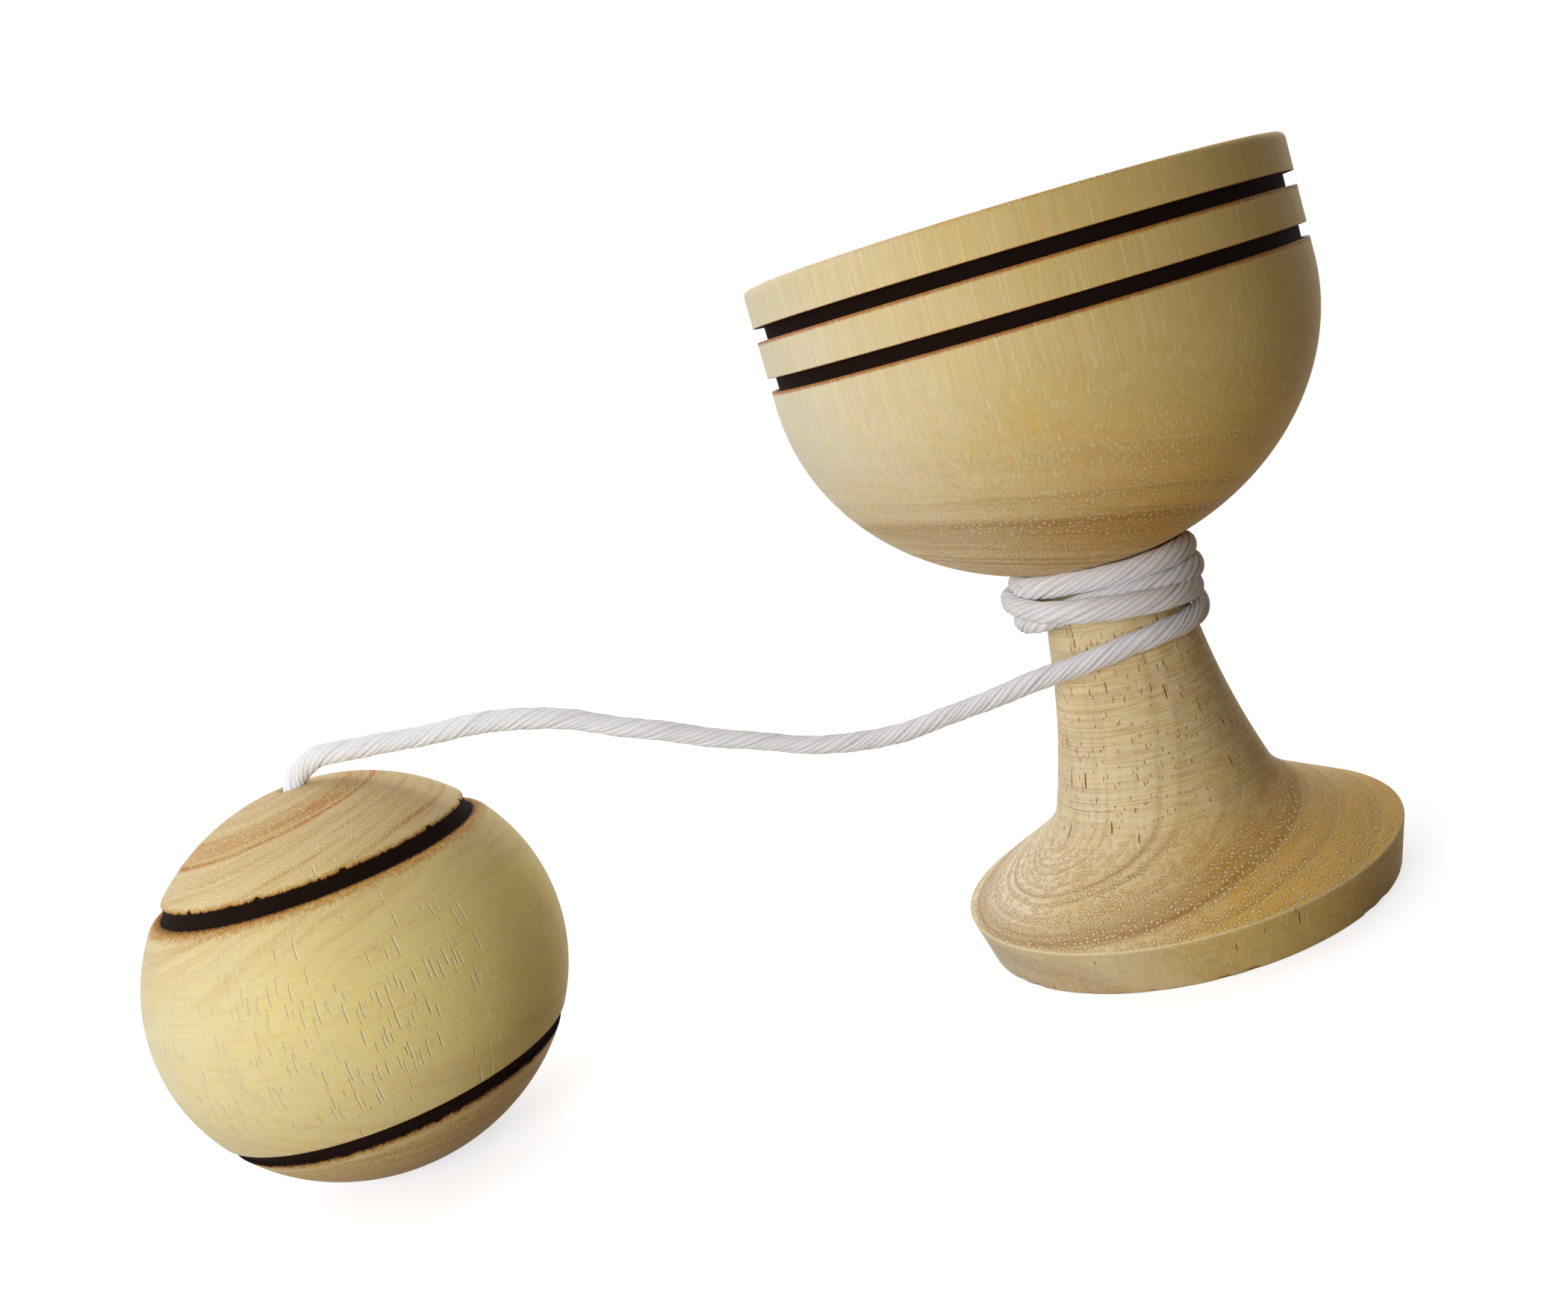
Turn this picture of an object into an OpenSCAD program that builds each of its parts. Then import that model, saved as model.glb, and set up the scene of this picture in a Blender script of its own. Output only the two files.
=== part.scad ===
// Cup and ball toy: a turned wooden goblet, a turned wooden ball, and the cotton cord that ties them.
// Millimetres, +Z up. The origin is the middle of the goblet's foot, on the table.

/* [Goblet] */
// Height of the goblet, from the table to the rim
goblet_h = 81.8; // [76:0.2:88]
// Widest diameter of the bowl
bowl_d = 61.1; // [58:0.1:66]
// Diameter across the rim
rim_d = 60.8; // [58:0.1:66]
// Height of the near-upright wall, from the bowl's widest place to the rim
wall_h = 13.4; // [12:0.2:16]
// Height of the bowl's round underside, from its widest place down
bowl_drop = 26.6; // [24:0.2:29]
// Diameter of the hollow that catches the ball
cup_d = 52; // [48:0.5:54]
// Depth of the hollow, from the rim to its lowest point
cup_depth = 34; // [28:0.5:36]
// Radius that eases the outer edge of the rim
rim_round = 0.8; // [0.4:0.1:1.5]
// Diameter of the neck that the cord is wound on
neck_d = 16.4; // [14:0.2:18]
// Diameter at the top of the stem, just under the neck
stem_top_d = 17.6; // [17:0.2:20]
// Diameter that the stem's flare bends towards at half its height
stem_mid_d = 19.8; // [18.5:0.2:22]
// Diameter of the stem where the cove above the foot begins
stem_low_d = 25.8; // [24:0.2:28]
// Height at which the cove begins
cove_top_h = 14.5; // [13.5:0.1:16]
// Diameter at which the cove runs out on the foot
cove_end_d = 36.4; // [33:0.2:40]
// Height at which the cove runs out on the foot
cove_end_h = 9.9; // [9:0.1:11]
// Diameter of the foot at its upper edge
foot_d = 52.2; // [48:0.2:56]
// Height of the foot's upper edge
foot_edge_h = 5.6; // [4.5:0.1:6.5]
// Diameter of the foot where it stands on the table
foot_base_d = 49.2; // [45:0.2:52]

/* [Burnt rings] */
// Width of the burnt grooves
ring_w = 1.5; // [1:0.1:2]
// Depth of the cup's upper groove
cup_ring_1_depth = 1.2; // [0.8:0.1:1.5]
// Depth of the cup's lower groove
cup_ring_2_depth = 0.9; // [0.6:0.1:1.2]
// Depth of the ball's grooves
ball_ring_depth = 0.8; // [0.4:0.1:1.2]
// Distance from the rim to the middle of the cup's upper groove
cup_ring_1 = 4.9; // [4:0.1:6]
// Distance from the rim to the middle of the cup's lower groove
cup_ring_2 = 10.4; // [9:0.1:12]
// Height of the ball's upper groove above the ball's centre
ball_ring_up = 14.4; // [12:0.1:16]
// Depth of the ball's lower groove below the ball's centre
ball_ring_down = 11.8; // [10:0.1:14]

/* [Ball] */
// Diameter of the ball
ball_d = 45; // [42:0.5:47]
// Diameter of the bore that the cord runs through
bore_d = 3.5; // [3:0.1:4.5]
// Diameter of the recess under the ball, which hides the stopper knot
recess_d = 9; // [8:0.2:12]
// Depth of that recess, from the ball's seat to its ceiling
recess_depth = 8; // [7:0.2:12]
// How far to the left of the goblet's axis the ball stands
ball_left = 91.75; // [80:0.25:100]
// How far in front of the goblet's axis the ball stands
ball_front = 17.4; // [10:0.1:24]

/* [Cord] */
// Diameter of the cotton cord
cord_d = 2; // [1.6:0.1:2.2]
// Gap between one turn on the neck and the next
turn_gap = 0.5; // [0.45:0.05:0.8]
// Gap left where the last turn crosses over the others
cross_gap = 0.45; // [0.45:0.05:0.8]
// Gap between the turns and the neck, so that they can slip round it
neck_gap = 0.2; // [0.15:0.05:0.4]
// Gap between the first turn and the bowl above it
bowl_gap = 0.5; // [0.45:0.05:0.8]
// Height that the last turn climbs as it crosses over the others
cross_rise = 3.9; // [3.6:0.1:4.4]
// Diameter of the knot that ties the cord behind the neck
neck_knot_d = 5.2; // [4.4:0.1:5.4]
// Diameter of the knot that stops the cord under the ball
stopper_knot_d = 6; // [5:0.1:7]
// Clearance of the stopper knot under the recess's ceiling
knot_gap = 0.3; // [0.2:0.05:0.6]

/* [Hidden] */
$fn = 96;

wood_colour = "#d8b878";
ball_colour = "#d2b46c";
cord_colour = "#ece9ea";

// The bowl's underside is half an ellipse, which meets the neck at neck_top.
bowl_mid = goblet_h - wall_h;
neck_top = bowl_mid - bowl_drop * sqrt(1 - pow(neck_d / bowl_d, 2));
curve_steps = 24;

// The ball stands on the rim of its recess, with its bore upright.
ball_seat = sqrt(pow(ball_d / 2, 2) - pow(recess_d / 2, 2));
ball_at = [-ball_left, -ball_front, ball_seat];
ball_top = ball_seat + ball_d / 2;
mouth_ease = 0.4;

// The winding. A turn is counted from behind the neck, clockwise seen from above. The first turns lie in
// the inner layer, and the last one climbs over its neighbour in front and falls again behind.
loop_rings = 24;
wound_sides = 6;
pitch = cord_d + turn_gap;
inner_r = (neck_d + cord_d) / 2 + neck_gap;
layer_step = cord_d + cross_gap;
first_right = 0.25;
cross_start = first_right + 2;
tie_tangent = 0.15;
tie_turn = 0.07;
wind_top = neck_top - cord_d / 2 - bowl_gap;
ball_angle = atan2(-ball_front, -ball_left);
ball_reach = norm([ball_left, ball_front]);
leave_angle = ball_angle + acos(inner_r / ball_reach);
last_turn = first_right + 3 + (-leave_angle % 360) / 360;

// The neck ends just under the turn that leaves it, in a short shoulder.
neck_low = turn_height(last_turn) - cord_d / 5;
shoulder_h = 0.8;

// Route of the free cord, from the neck to the ball, points chosen by eye.
free_sides = 8;
lead_route = [[-6, -10, 33], [-11, -10.4, 32.6], [-16, -10.8, 32.1], [-21, -11.3, 31.6]];
bend_point = [-26, -11.7, 31.3];
span_route = [[-31, -12.1, 31.6], [-36, -12.6, 32.8], [-41, -13, 34.6], [-46, -13.4, 36.6],
              [-51, -13.9, 38.8], [-56, -14.3, 41], [-61, -14.7, 43.2], [-66, -15.1, 44.8],
              [-70, -15.5, 45.4], [-75, -15.9, 45.8], [-80, -16.4, 46.2], [-84, -16.7, 46.6]];
bend_gap = 0.3;
mouth_bend = 2 * cord_d;
mouth_depth = 1.5;
mouth_steps = 5;

// Height of the cord's middle after so many turns: a steady descent, plus the last turn's climb.
function turn_height(turn) =
    let (climb = turn - cross_start)
    wind_top - pitch * (max(turn, tie_tangent) - first_right)
    + (climb > 0 && climb < 1 ? cross_rise * pow(sin(180 * climb), 2) : 0);

// A smooth step from 0 to 1 between two values.
function ease(low, high, value) =
    let (share = min(max((value - low) / (high - low), 0), 1))
    share * share * (3 - 2 * share);

// Distance of the cord's middle from the neck's axis: a straight tangent at the tie, then the inner
// layer, and one layer further out while the last turn crosses.
function turn_radius(turn) =
    let (climb = turn - cross_start)
    inner_r / cos(360 * max(tie_tangent - turn, 0))
    + layer_step * ease(-0.05, 0.25, climb) * (1 - ease(0.75, 1.05, climb));

function turn_point(turn) =
    let (angle = 90 - 360 * turn, r = turn_radius(turn))
    [r * cos(angle), r * sin(angle), turn_height(turn)];

function unit(v) = v / norm(v);

// A path with each of its ends carried on, straight, by one cord diameter.
function straight_ends(path) =
    let (last = len(path) - 1)
    concat([path[0] + cord_d * unit(path[0] - path[1])], path,
           [path[last] + cord_d * unit(path[last] - path[last - 1])]);

wound_count = round((last_turn - tie_turn) * loop_rings);
wound_path = straight_ends([for (i = [0:wound_count])
    turn_point(tie_turn + (last_turn - tie_turn) * i / wound_count)]);
wound_end = wound_path[len(wound_path) - 1];
wound_way = unit(wound_end - wound_path[len(wound_path) - 2]);
tie_way = unit(wound_path[0] - wound_path[1]);

// Least gap of the winding to itself, measured between points that are over half a turn apart.
wound_gap = min([for (i = [0:len(wound_path) - 1], j = [i + loop_rings / 2:1:len(wound_path) - 1])
    norm(wound_path[i] - wound_path[j])]) - cord_d;
echo(winding_least_gap = wound_gap);

// The free cord in two stretches, which meet at its lowest point, and the round bend into the ball.
bend_way = unit([span_route[0][0] - lead_route[3][0], span_route[0][1] - lead_route[3][1], 0]);
lead_path = concat([wound_end, wound_end + cord_d * wound_way], lead_route,
                   [bend_point - bend_gap / 2 * bend_way]);
mouth_low = ball_top - mouth_depth;
mouth_way = unit([bend_point[0] - ball_at[0], bend_point[1] - ball_at[1], 0]);
mouth_path = [for (i = [mouth_steps:-1:0])
    let (angle = 90 * i / mouth_steps)
    [ball_at[0], ball_at[1], mouth_low]
    + mouth_bend * ((1 - cos(angle)) * mouth_way + [0, 0, sin(angle)])];
span_path = concat([bend_point + bend_gap / 2 * bend_way], span_route, mouth_path);

// Knot flats: where the cord's end face meets the knot.
function flat_offset(knot_d) = sqrt(pow(knot_d / 2, 2) - pow(cord_d / 2, 2));
stopper_top = recess_depth - knot_gap;

// Points of a curve with one bend, from a to c, drawn towards b.
function bent(a, b, c) =
    [for (i = [1:curve_steps]) let (t = i / curve_steps)
        pow(1 - t, 2) * a + 2 * t * (1 - t) * b + t * t * c];

// Where the line through a along slope_a meets the line through b along slope_b, in [radius, height].
function meeting(a, slope_a, b, slope_b) =
    let (r = (b[1] - a[1] + slope_a * a[0] - slope_b * b[0]) / (slope_a - slope_b))
    [r, a[1] + slope_a * (r - a[0])];

// A tube along a path. The first ring is turned to face "side", and each ring carries that on.
function tangents(path) =
    let (last = len(path) - 1)
    [for (i = [0:last]) unit(path[min(i + 1, last)] - path[max(i - 1, 0)])];

function square_to(side, way) = unit(side - (side * way) * way);

function sides_along(ways, side) =
    [for (i = 0, s = square_to(side, ways[0]); i < len(ways);
          s = square_to(s, ways[min(i + 1, len(ways) - 1)]), i = i + 1) s];

module tube(path, sides, side) {
    ways = tangents(path);
    across = sides_along(ways, side);
    last = (len(path) - 1) * sides;
    points = [for (i = [0:len(path) - 1], k = [0:sides - 1])
        let (angle = 360 * k / sides)
        path[i] + cord_d / 2 * (cos(angle) * across[i] + sin(angle) * cross(ways[i], across[i]))];
    walls = [for (i = [0:len(path) - 2], k = [0:sides - 1])
        let (a = i * sides + k, b = i * sides + (k + 1) % sides)
        each [[a, a + sides, b], [b, a + sides, b + sides]]];
    ends = [for (k = [1:sides - 2]) each [[0, k, k + 1], [last, last + k + 1, last + k]]];
    polyhedron(points, concat(walls, ends), convexity = 10);
}

// A burnt groove: a square ring cut into a wall of radius r at a height.
module ring_cut(r, height, depth) {
    rotate_extrude()
        translate([r - depth, height - ring_w / 2])
            square([2 * depth, ring_w]);
}

module goblet() {
    stem_low = [stem_low_d / 2, cove_top_h];
    stem_mid = [stem_mid_d / 2, (neck_low - shoulder_h + cove_top_h) / 2];
    cove_end = [cove_end_d / 2, cove_end_h];
    foot_edge = [foot_d / 2, foot_edge_h];
    stem_slope = (stem_mid[1] - stem_low[1]) / (stem_mid[0] - stem_low[0]);
    foot_slope = (foot_edge[1] - cove_end[1]) / (foot_edge[0] - cove_end[0]);
    cove_corner = meeting(stem_low, stem_slope, cove_end, foot_slope);
    neck_turn = asin(neck_d / bowl_d);
    underside = [for (i = [0:curve_steps])
        let (angle = neck_turn + (90 - neck_turn) * i / curve_steps)
        [bowl_d / 2 * sin(angle), bowl_mid - bowl_drop * cos(angle)]];
    rim_edge = [for (i = [0:4])
        let (angle = 90 * i / 4)
        [rim_d / 2 - rim_round * (1 - cos(angle)), goblet_h - rim_round * (1 - sin(angle))]];
    stem_top = [stem_top_d / 2, neck_low - shoulder_h];
    outline = concat([[0, 0], [foot_base_d / 2, 0], foot_edge, cove_end],
                     bent(cove_end, cove_corner, stem_low),
                     bent(stem_low, stem_mid, stem_top),
                     [[neck_d / 2, neck_low]],
                     underside, rim_edge, [[0, goblet_h]]);
    color(wood_colour)
    difference() {
        rotate_extrude() polygon(outline);
        translate([0, 0, goblet_h - cup_depth + cup_d / 2]) {
            sphere(d = cup_d);
            cylinder(d = cup_d, h = cup_depth);
        }
        ring_cut(wall_r(cup_ring_1), goblet_h - cup_ring_1, cup_ring_1_depth);
        ring_cut(wall_r(cup_ring_2), goblet_h - cup_ring_2, cup_ring_2_depth);
    }
}

// Radius of the bowl's wall at a distance below the rim.
function wall_r(drop) = (rim_d + (bowl_d - rim_d) * drop / wall_h) / 2;

module ball() {
    color(ball_colour)
    translate(ball_at)
    difference() {
        sphere(d = ball_d);
        cylinder(d = bore_d, h = ball_d, center = true);
        translate([0, 0, recess_depth - ball_seat - ball_d]) cylinder(d = recess_d, h = ball_d);
        translate([0, 0, ball_d / 2 - mouth_ease - bore_d / 8])
            cylinder(d1 = bore_d, d2 = bore_d + 4 * mouth_ease, h = 2 * mouth_ease);
        ring_cut(ball_r(ball_ring_up), ball_ring_up, ball_ring_depth);
        ring_cut(ball_r(ball_ring_down), -ball_ring_down, ball_ring_depth);
    }
}

// Radius of the ball at a height above or below its centre.
function ball_r(height) = sqrt(pow(ball_d / 2, 2) - height * height);

// A knot: a round lump, cut flat where the cord's end face meets it, facing +Z.
module knot(d) {
    translate([0, 0, -flat_offset(d)])
    difference() {
        sphere(d = d);
        translate([0, 0, flat_offset(d)]) cylinder(d = d, h = d);
    }
}

module neck_knot() {
    turn = atan2(-tie_way[1], -tie_way[0]);
    tilt = acos(-tie_way[2]);
    color(cord_colour)
    translate(wound_path[0]) rotate([0, tilt, turn]) knot(neck_knot_d);
}

module cord_winding() {
    color(cord_colour) tube(wound_path, wound_sides, [0, 0, 1]);
}

module cord_lead() {
    color(cord_colour) tube(lead_path, free_sides, [0, 1, 0]);
}

module cord_span() {
    color(cord_colour) tube(span_path, free_sides, [0, 1, 0]);
}

module cord_in_ball() {
    color(cord_colour)
    translate([ball_at[0], ball_at[1], stopper_top]) cylinder(d = cord_d, h = mouth_low - stopper_top);
}

module stopper_knot() {
    color(cord_colour)
    translate([ball_at[0], ball_at[1], stopper_top]) knot(stopper_knot_d);
}

goblet();
ball();
neck_knot();
cord_winding();
cord_lead();
cord_span();
cord_in_ball();
stopper_knot();
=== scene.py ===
# %% [markdown]
# A cup and ball toy: a turned wooden goblet, a turned wooden ball with a bore, and the white cotton cord
# that is wound round the goblet's neck and knotted under the ball. The solids of the part give every
# size and every place. This script dresses them: each piece is a surface worked out with numpy, which
# stands in the place of its plain solid.

import bpy
import numpy as np
from mathutils import Matrix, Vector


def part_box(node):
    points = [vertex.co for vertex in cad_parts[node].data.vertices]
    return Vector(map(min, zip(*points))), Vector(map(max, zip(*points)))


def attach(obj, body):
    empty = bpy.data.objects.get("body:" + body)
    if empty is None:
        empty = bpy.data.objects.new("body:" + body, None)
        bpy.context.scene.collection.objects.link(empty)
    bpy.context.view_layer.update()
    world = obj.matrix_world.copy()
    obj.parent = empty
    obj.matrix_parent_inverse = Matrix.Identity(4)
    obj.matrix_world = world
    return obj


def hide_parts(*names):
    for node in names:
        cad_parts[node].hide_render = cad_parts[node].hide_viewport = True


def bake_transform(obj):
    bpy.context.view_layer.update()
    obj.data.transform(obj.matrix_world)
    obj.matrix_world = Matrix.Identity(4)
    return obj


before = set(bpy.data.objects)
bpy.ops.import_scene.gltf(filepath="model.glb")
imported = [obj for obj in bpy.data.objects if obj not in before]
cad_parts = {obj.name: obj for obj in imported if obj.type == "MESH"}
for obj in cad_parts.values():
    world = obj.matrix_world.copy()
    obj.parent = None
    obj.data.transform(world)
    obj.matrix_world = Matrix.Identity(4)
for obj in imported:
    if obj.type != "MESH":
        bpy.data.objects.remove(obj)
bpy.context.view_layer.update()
MM = 0.001
print("solids to dress:", ", ".join(sorted(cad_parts)))

# %% [markdown]
# The camera comes first. It stands close, about 18 cm in front of the goblet and just under its rim, and
# it is rolled to the left, so the upright toy leans to the right in the picture. The picture was cropped,
# so its middle isn't where the lens points. A small shift of the lens gives that.

# %% The camera
picture_w, picture_h = 2100, 1742
focal_px = 2168.5
axis_px = (1258.8, 843.2)
film_w = 36.0
camera_at = np.array((0.0, -183.51, 74.88)) * MM
to_right = np.array((0.95939, 0.05155, -0.27734))
ahead = np.array((-0.10755, 0.97574, -0.19068))
upward = np.cross(to_right, ahead)


def set_up(thing, right, up, back, at):
    """Puts a camera or a lamp in its place: its matrix has three axes and the place as columns."""
    placed = np.eye(4)
    placed[:3] = np.stack([right, up, back, at], axis=1)
    thing.matrix_world = Matrix(placed.tolist())
    bpy.context.scene.collection.objects.link(thing)


lens = bpy.data.cameras.new("picture_camera")
lens.sensor_width = film_w
lens.lens = film_w * focal_px / picture_w
lens.shift_x = 0.5 - axis_px[0] / picture_w
lens.shift_y = (axis_px[1] - picture_h / 2) / picture_w
lens.clip_start = 0.01
camera = bpy.data.objects.new("picture_camera", lens)
set_up(camera, to_right, upward, -ahead, camera_at)
bpy.context.scene.camera = camera
print(f"camera: {lens.lens:.1f} mm lens, shift {lens.shift_x:.3f}, {lens.shift_y:.3f}")

# %% [markdown]
# Three small helpers serve all the finishes. Colours are written as sRGB hex values, as a paint program
# shows them, and shaders want linear light, so one function turns the one into the other. The second adds
# a node to a material: its settings, its sockets' values, and its links. The third starts a material.

# %% Helpers for finishes
def linear(hex_colour):
    """sRGB hex to linear light: below 0.04045 a straight line, above it ((c + 0.055) / 1.055) ** 2.4."""
    channels = np.array([int(hex_colour[i:i + 2], 16) for i in (1, 3, 5)]) / 255
    curved = ((channels + 0.055) / 1.055) ** 2.4
    return (*np.where(channels <= 0.04045, channels / 12.92, curved), 1.0)


def add_node(tree, kind, sockets, give=0, **settings):
    """Adds one node. A socket gets a value or, where it is given an output, a link. Returns an output."""
    node = tree.nodes.new(kind)
    for name, value in settings.items():
        setattr(node, name, value)
    for name, value in sockets.items():
        if isinstance(value, bpy.types.NodeSocket):
            tree.links.new(value, node.inputs[name])
        else:
            node.inputs[name].default_value = value
    return node.outputs[give]


def new_finish(name):
    """An empty material: the material, its node tree, and the socket that takes its surface."""
    finish = bpy.data.materials.new(name)
    finish.use_nodes = True
    finish.node_tree.nodes.clear()
    surface = finish.node_tree.nodes.new("ShaderNodeOutputMaterial").inputs["Surface"]
    return finish, finish.node_tree, surface


print("linear of #808080:", round(linear("#808080")[0], 3))

# %% [markdown]
# A grid of points becomes a mesh in one step. Every piece here closes on itself around its length, so the
# columns always wrap. The rows wrap too on a ring-shaped piece, and otherwise each end gets a flat cap.
# Whether the faces look outwards is read from the sign of the volume that they enclose.

# %% Helpers for meshes
def net_faces(rows, columns, ring):
    """Corner numbers of the quads: (i, j), (i, j + 1), (i + 1, j + 1), (i + 1, j), columns wrapping."""
    here = np.arange(rows * columns).reshape(rows, columns)
    beside = np.roll(here, -1, axis=1)
    above = np.roll(here, -1, axis=0)
    above_beside = np.roll(beside, -1, axis=0)
    corners = np.stack([here, beside, above_beside, above], axis=-1)
    last = rows if ring else rows - 1
    return corners[:last].reshape(-1, 4)


def enclosed(points, quads):
    """Volume inside the quads: the sum of a . (b x c) / 6 over their two triangles."""
    a, b, c, d = (points[quads[:, k]] for k in range(4))
    return float(np.sum(a * np.cross(b, c)) + np.sum(a * np.cross(c, d))) / 6


def closed_net(grid, first, ring):
    """Faces of one net whose points are numbered from first, turned to look outwards, ends capped."""
    rows, columns = grid.shape[:2]
    flat = grid.reshape(-1, 3)
    quads = net_faces(rows, columns, ring)
    way = 1 if enclosed(flat - flat.mean(axis=0), quads) > 0 else -1
    faces = (quads[:, ::way] + first).tolist()
    if not ring:
        start = np.arange(columns)[::-way] + first
        faces += [start.tolist(), (start[::-1] + (rows - 1) * columns).tolist()]
    return faces


def net_mesh(name, nets, finish, ring=False):
    """Joins nets, each a grid of points in millimetres and its point attributes, into one smooth mesh."""
    sizes = np.array([grid.shape[0] * grid.shape[1] for grid, marks in nets])
    firsts = np.cumsum(sizes) - sizes
    faces = [f for (grid, marks), first in zip(nets, firsts) for f in closed_net(grid, first, ring)]
    mesh = bpy.data.meshes.new(name)
    mesh.from_pydata(np.concatenate([grid.reshape(-1, 3) for grid, marks in nets]) * MM, [], faces)
    mesh.polygons.foreach_set("use_smooth", np.ones(len(faces), bool))
    for label in nets[0][1]:
        values = np.concatenate([
            marks[label].reshape(size, -1) for (grid, marks), size in zip(nets, sizes)])
        kind, field = ("FLOAT", "value") if values.shape[1] == 1 else ("FLOAT_VECTOR", "vector")
        layer = mesh.attributes.new(label, kind, "POINT")
        layer.data.foreach_set(field, values.astype(np.float32).ravel())
    mesh.update()
    mesh.materials.append(finish)
    piece = bpy.data.objects.new(name, mesh)
    bpy.context.scene.collection.objects.link(piece)
    print(f"{name}: {len(mesh.vertices)} points, {sum(len(f) - 2 for f in faces)} triangles")
    return piece


# %% [markdown]
# The cord is one length of soft cotton, about 2 mm thick. It is tied behind the neck, goes round it three
# and a half times, clockwise seen from above, and leaves across the front. The third turn climbs over the
# second one. From there it hangs to the ball, rises over it, and drops into the bore. Its line is laid
# through a few given points, which repeat the solids' route, with a curve that passes smoothly through
# every one of them. Its slopes allow for steps of uneven length, so it doesn't kink at a short one.

# %% Curves through points
def curve_through(points, at, per_step):
    """A smooth curve that passes points at given places along it: on each step a cubic. The slope at a
    point is the mean of the slopes of the two steps beside it, each weighted by the other's length."""
    step = np.diff(at)[:, None]
    steep = np.diff(points, axis=0) / step
    between = (steep[:-1] * step[1:] + steep[1:] * step[:-1]) / (step[:-1] + step[1:])
    slopes = np.concatenate([steep[:1], between, steep[-1:]])
    t = np.linspace(0, 1, per_step, endpoint=False)[None, :, None]
    a, b = points[:-1, None], points[1:, None]
    slope_a, slope_b = (slopes[:-1] * step)[:, None], (slopes[1:] * step)[:, None]
    curve = (a * (2 * t**3 - 3 * t**2 + 1) + slope_a * (t**3 - 2 * t**2 + t)
             + b * (3 * t**2 - 2 * t**3) + slope_b * (t**3 - t**2))
    return np.concatenate([curve.reshape(-1, points.shape[1]), points[-1:]])


def lengths_along(path):
    """Distance from the start to each point of a path: the running sum of its steps."""
    steps = np.linalg.norm(np.diff(path, axis=0), axis=1)
    return np.concatenate([[0.0], np.cumsum(steps)])


def unit(vectors):
    """The same directions, one long."""
    return vectors / np.linalg.norm(vectors, axis=-1, keepdims=True)


print("a curve through 3 points:", len(curve_through(np.eye(3), lengths_along(np.eye(3)), 8)), "points")

# %% [markdown]
# Each turn of the winding is given by its distance from the neck's axis and its height, a quarter turn at
# a time, as the picture shows them: the first lies up against the bowl, the second below it, the third
# starts lowest at the right, crosses over the second in front and ends above it at the left. The fourth
# comes down behind and runs off across the stem.

# %% The winding's line
knot_at = np.mean(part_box("neck_knot"), axis=0) / MM

# Turn, distance from the neck's axis and height of the cord's middle, in millimetres.
turns = np.array([
    (0.25, 9.8, 41.3), (0.50, 9.6, 41.8), (0.75, 10.2, 41.75), (1.00, 9.8, 41.0),
    (1.25, 10.1, 38.9), (1.50, 9.5, 39.3), (1.75, 10.7, 37.6), (2.00, 9.5, 37.2),
    (2.25, 9.4, 36.6), (2.50, 11.2, 38.45), (2.75, 11.5, 40.15), (3.00, 11.3, 37.1),
    (3.25, 9.5, 34.3), (3.486, 9.4, 33.7),
])
wound = curve_through(turns, turns[:, 0], 8)
wound_angle = np.radians(90 - 360 * wound[:, 0])
wound_line = np.stack([
    wound[:, 1] * np.cos(wound_angle), wound[:, 1] * np.sin(wound_angle), wound[:, 2]], axis=1)
print(f"winding: {lengths_along(wound_line)[-1]:.0f} mm of cord")

# %% [markdown]
# The free cord sags from the stem to its lowest point and climbs to the ball. It comes out of the bore
# nearly upright, leaning on the far side of the hole, and is bent over within a few millimetres.

# %% The free cord's line
ball_at = np.array((-91.75, -17.4, 22.045))
stopper_at = np.mean(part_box("stopper_knot"), axis=0) / MM
lead_line = np.array([(-6, -10, 33), (-11, -10.4, 32.6), (-16, -10.8, 32.1), (-21, -11.3, 31.6)])
bend_point = np.array((-26, -11.7, 31.3))
span_line = np.array([
    (-31, -12.1, 31.6), (-36, -12.6, 32.8), (-41, -13, 34.6), (-46, -13.4, 36.6), (-51, -13.9, 38.8),
    (-56, -14.3, 41), (-61, -14.7, 43.2), (-66, -15.1, 44.8), (-70, -15.5, 45.4), (-75, -15.9, 45.8),
    (-80, -16.4, 46.2), (-84, -16.7, 46.6),
])

# Over the mouth the cord is an arc: it still rises by 5 degrees where it begins, and dives by 84 in the
# hole, where it lies a little past the bore's axis. Further down it follows that axis.
mouth_bend = 5.0
slope = np.radians(np.linspace(-5, 84, 8))
past_axis, arc_end_h, bore_line_h = 0.35, 42.5, 16.5
out_of_bore = mouth_bend * (np.sin(slope[-1]) - np.sin(slope)) - past_axis
above_floor = mouth_bend * (np.cos(slope) - np.cos(slope[-1])) + arc_end_h
mouth_way = unit((bend_point - ball_at) * (1, 1, 0))
mouth_line = ball_at * (1, 1, 0) + out_of_bore[:, None] * mouth_way + above_floor[:, None] * (0, 0, 1)
bore_line = np.linspace(ball_at + (0, 0, bore_line_h), stopper_at, 8)

per_step = 24
route = np.concatenate([
    [knot_at], wound_line, lead_line, [bend_point], span_line, mouth_line, bore_line])
whole = curve_through(route, lengths_along(route), per_step)
print(f"cord from knot to knot: {lengths_along(whole)[-1]:.0f} mm")

# %% [markdown]
# The strands wind round that line, so every point of it needs two directions across it which don't spin
# by themselves. A first pair leans on the vertical along the winding and on the depth axis further on. The
# spin that this pair has is then added up along the way and taken out again.

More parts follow.
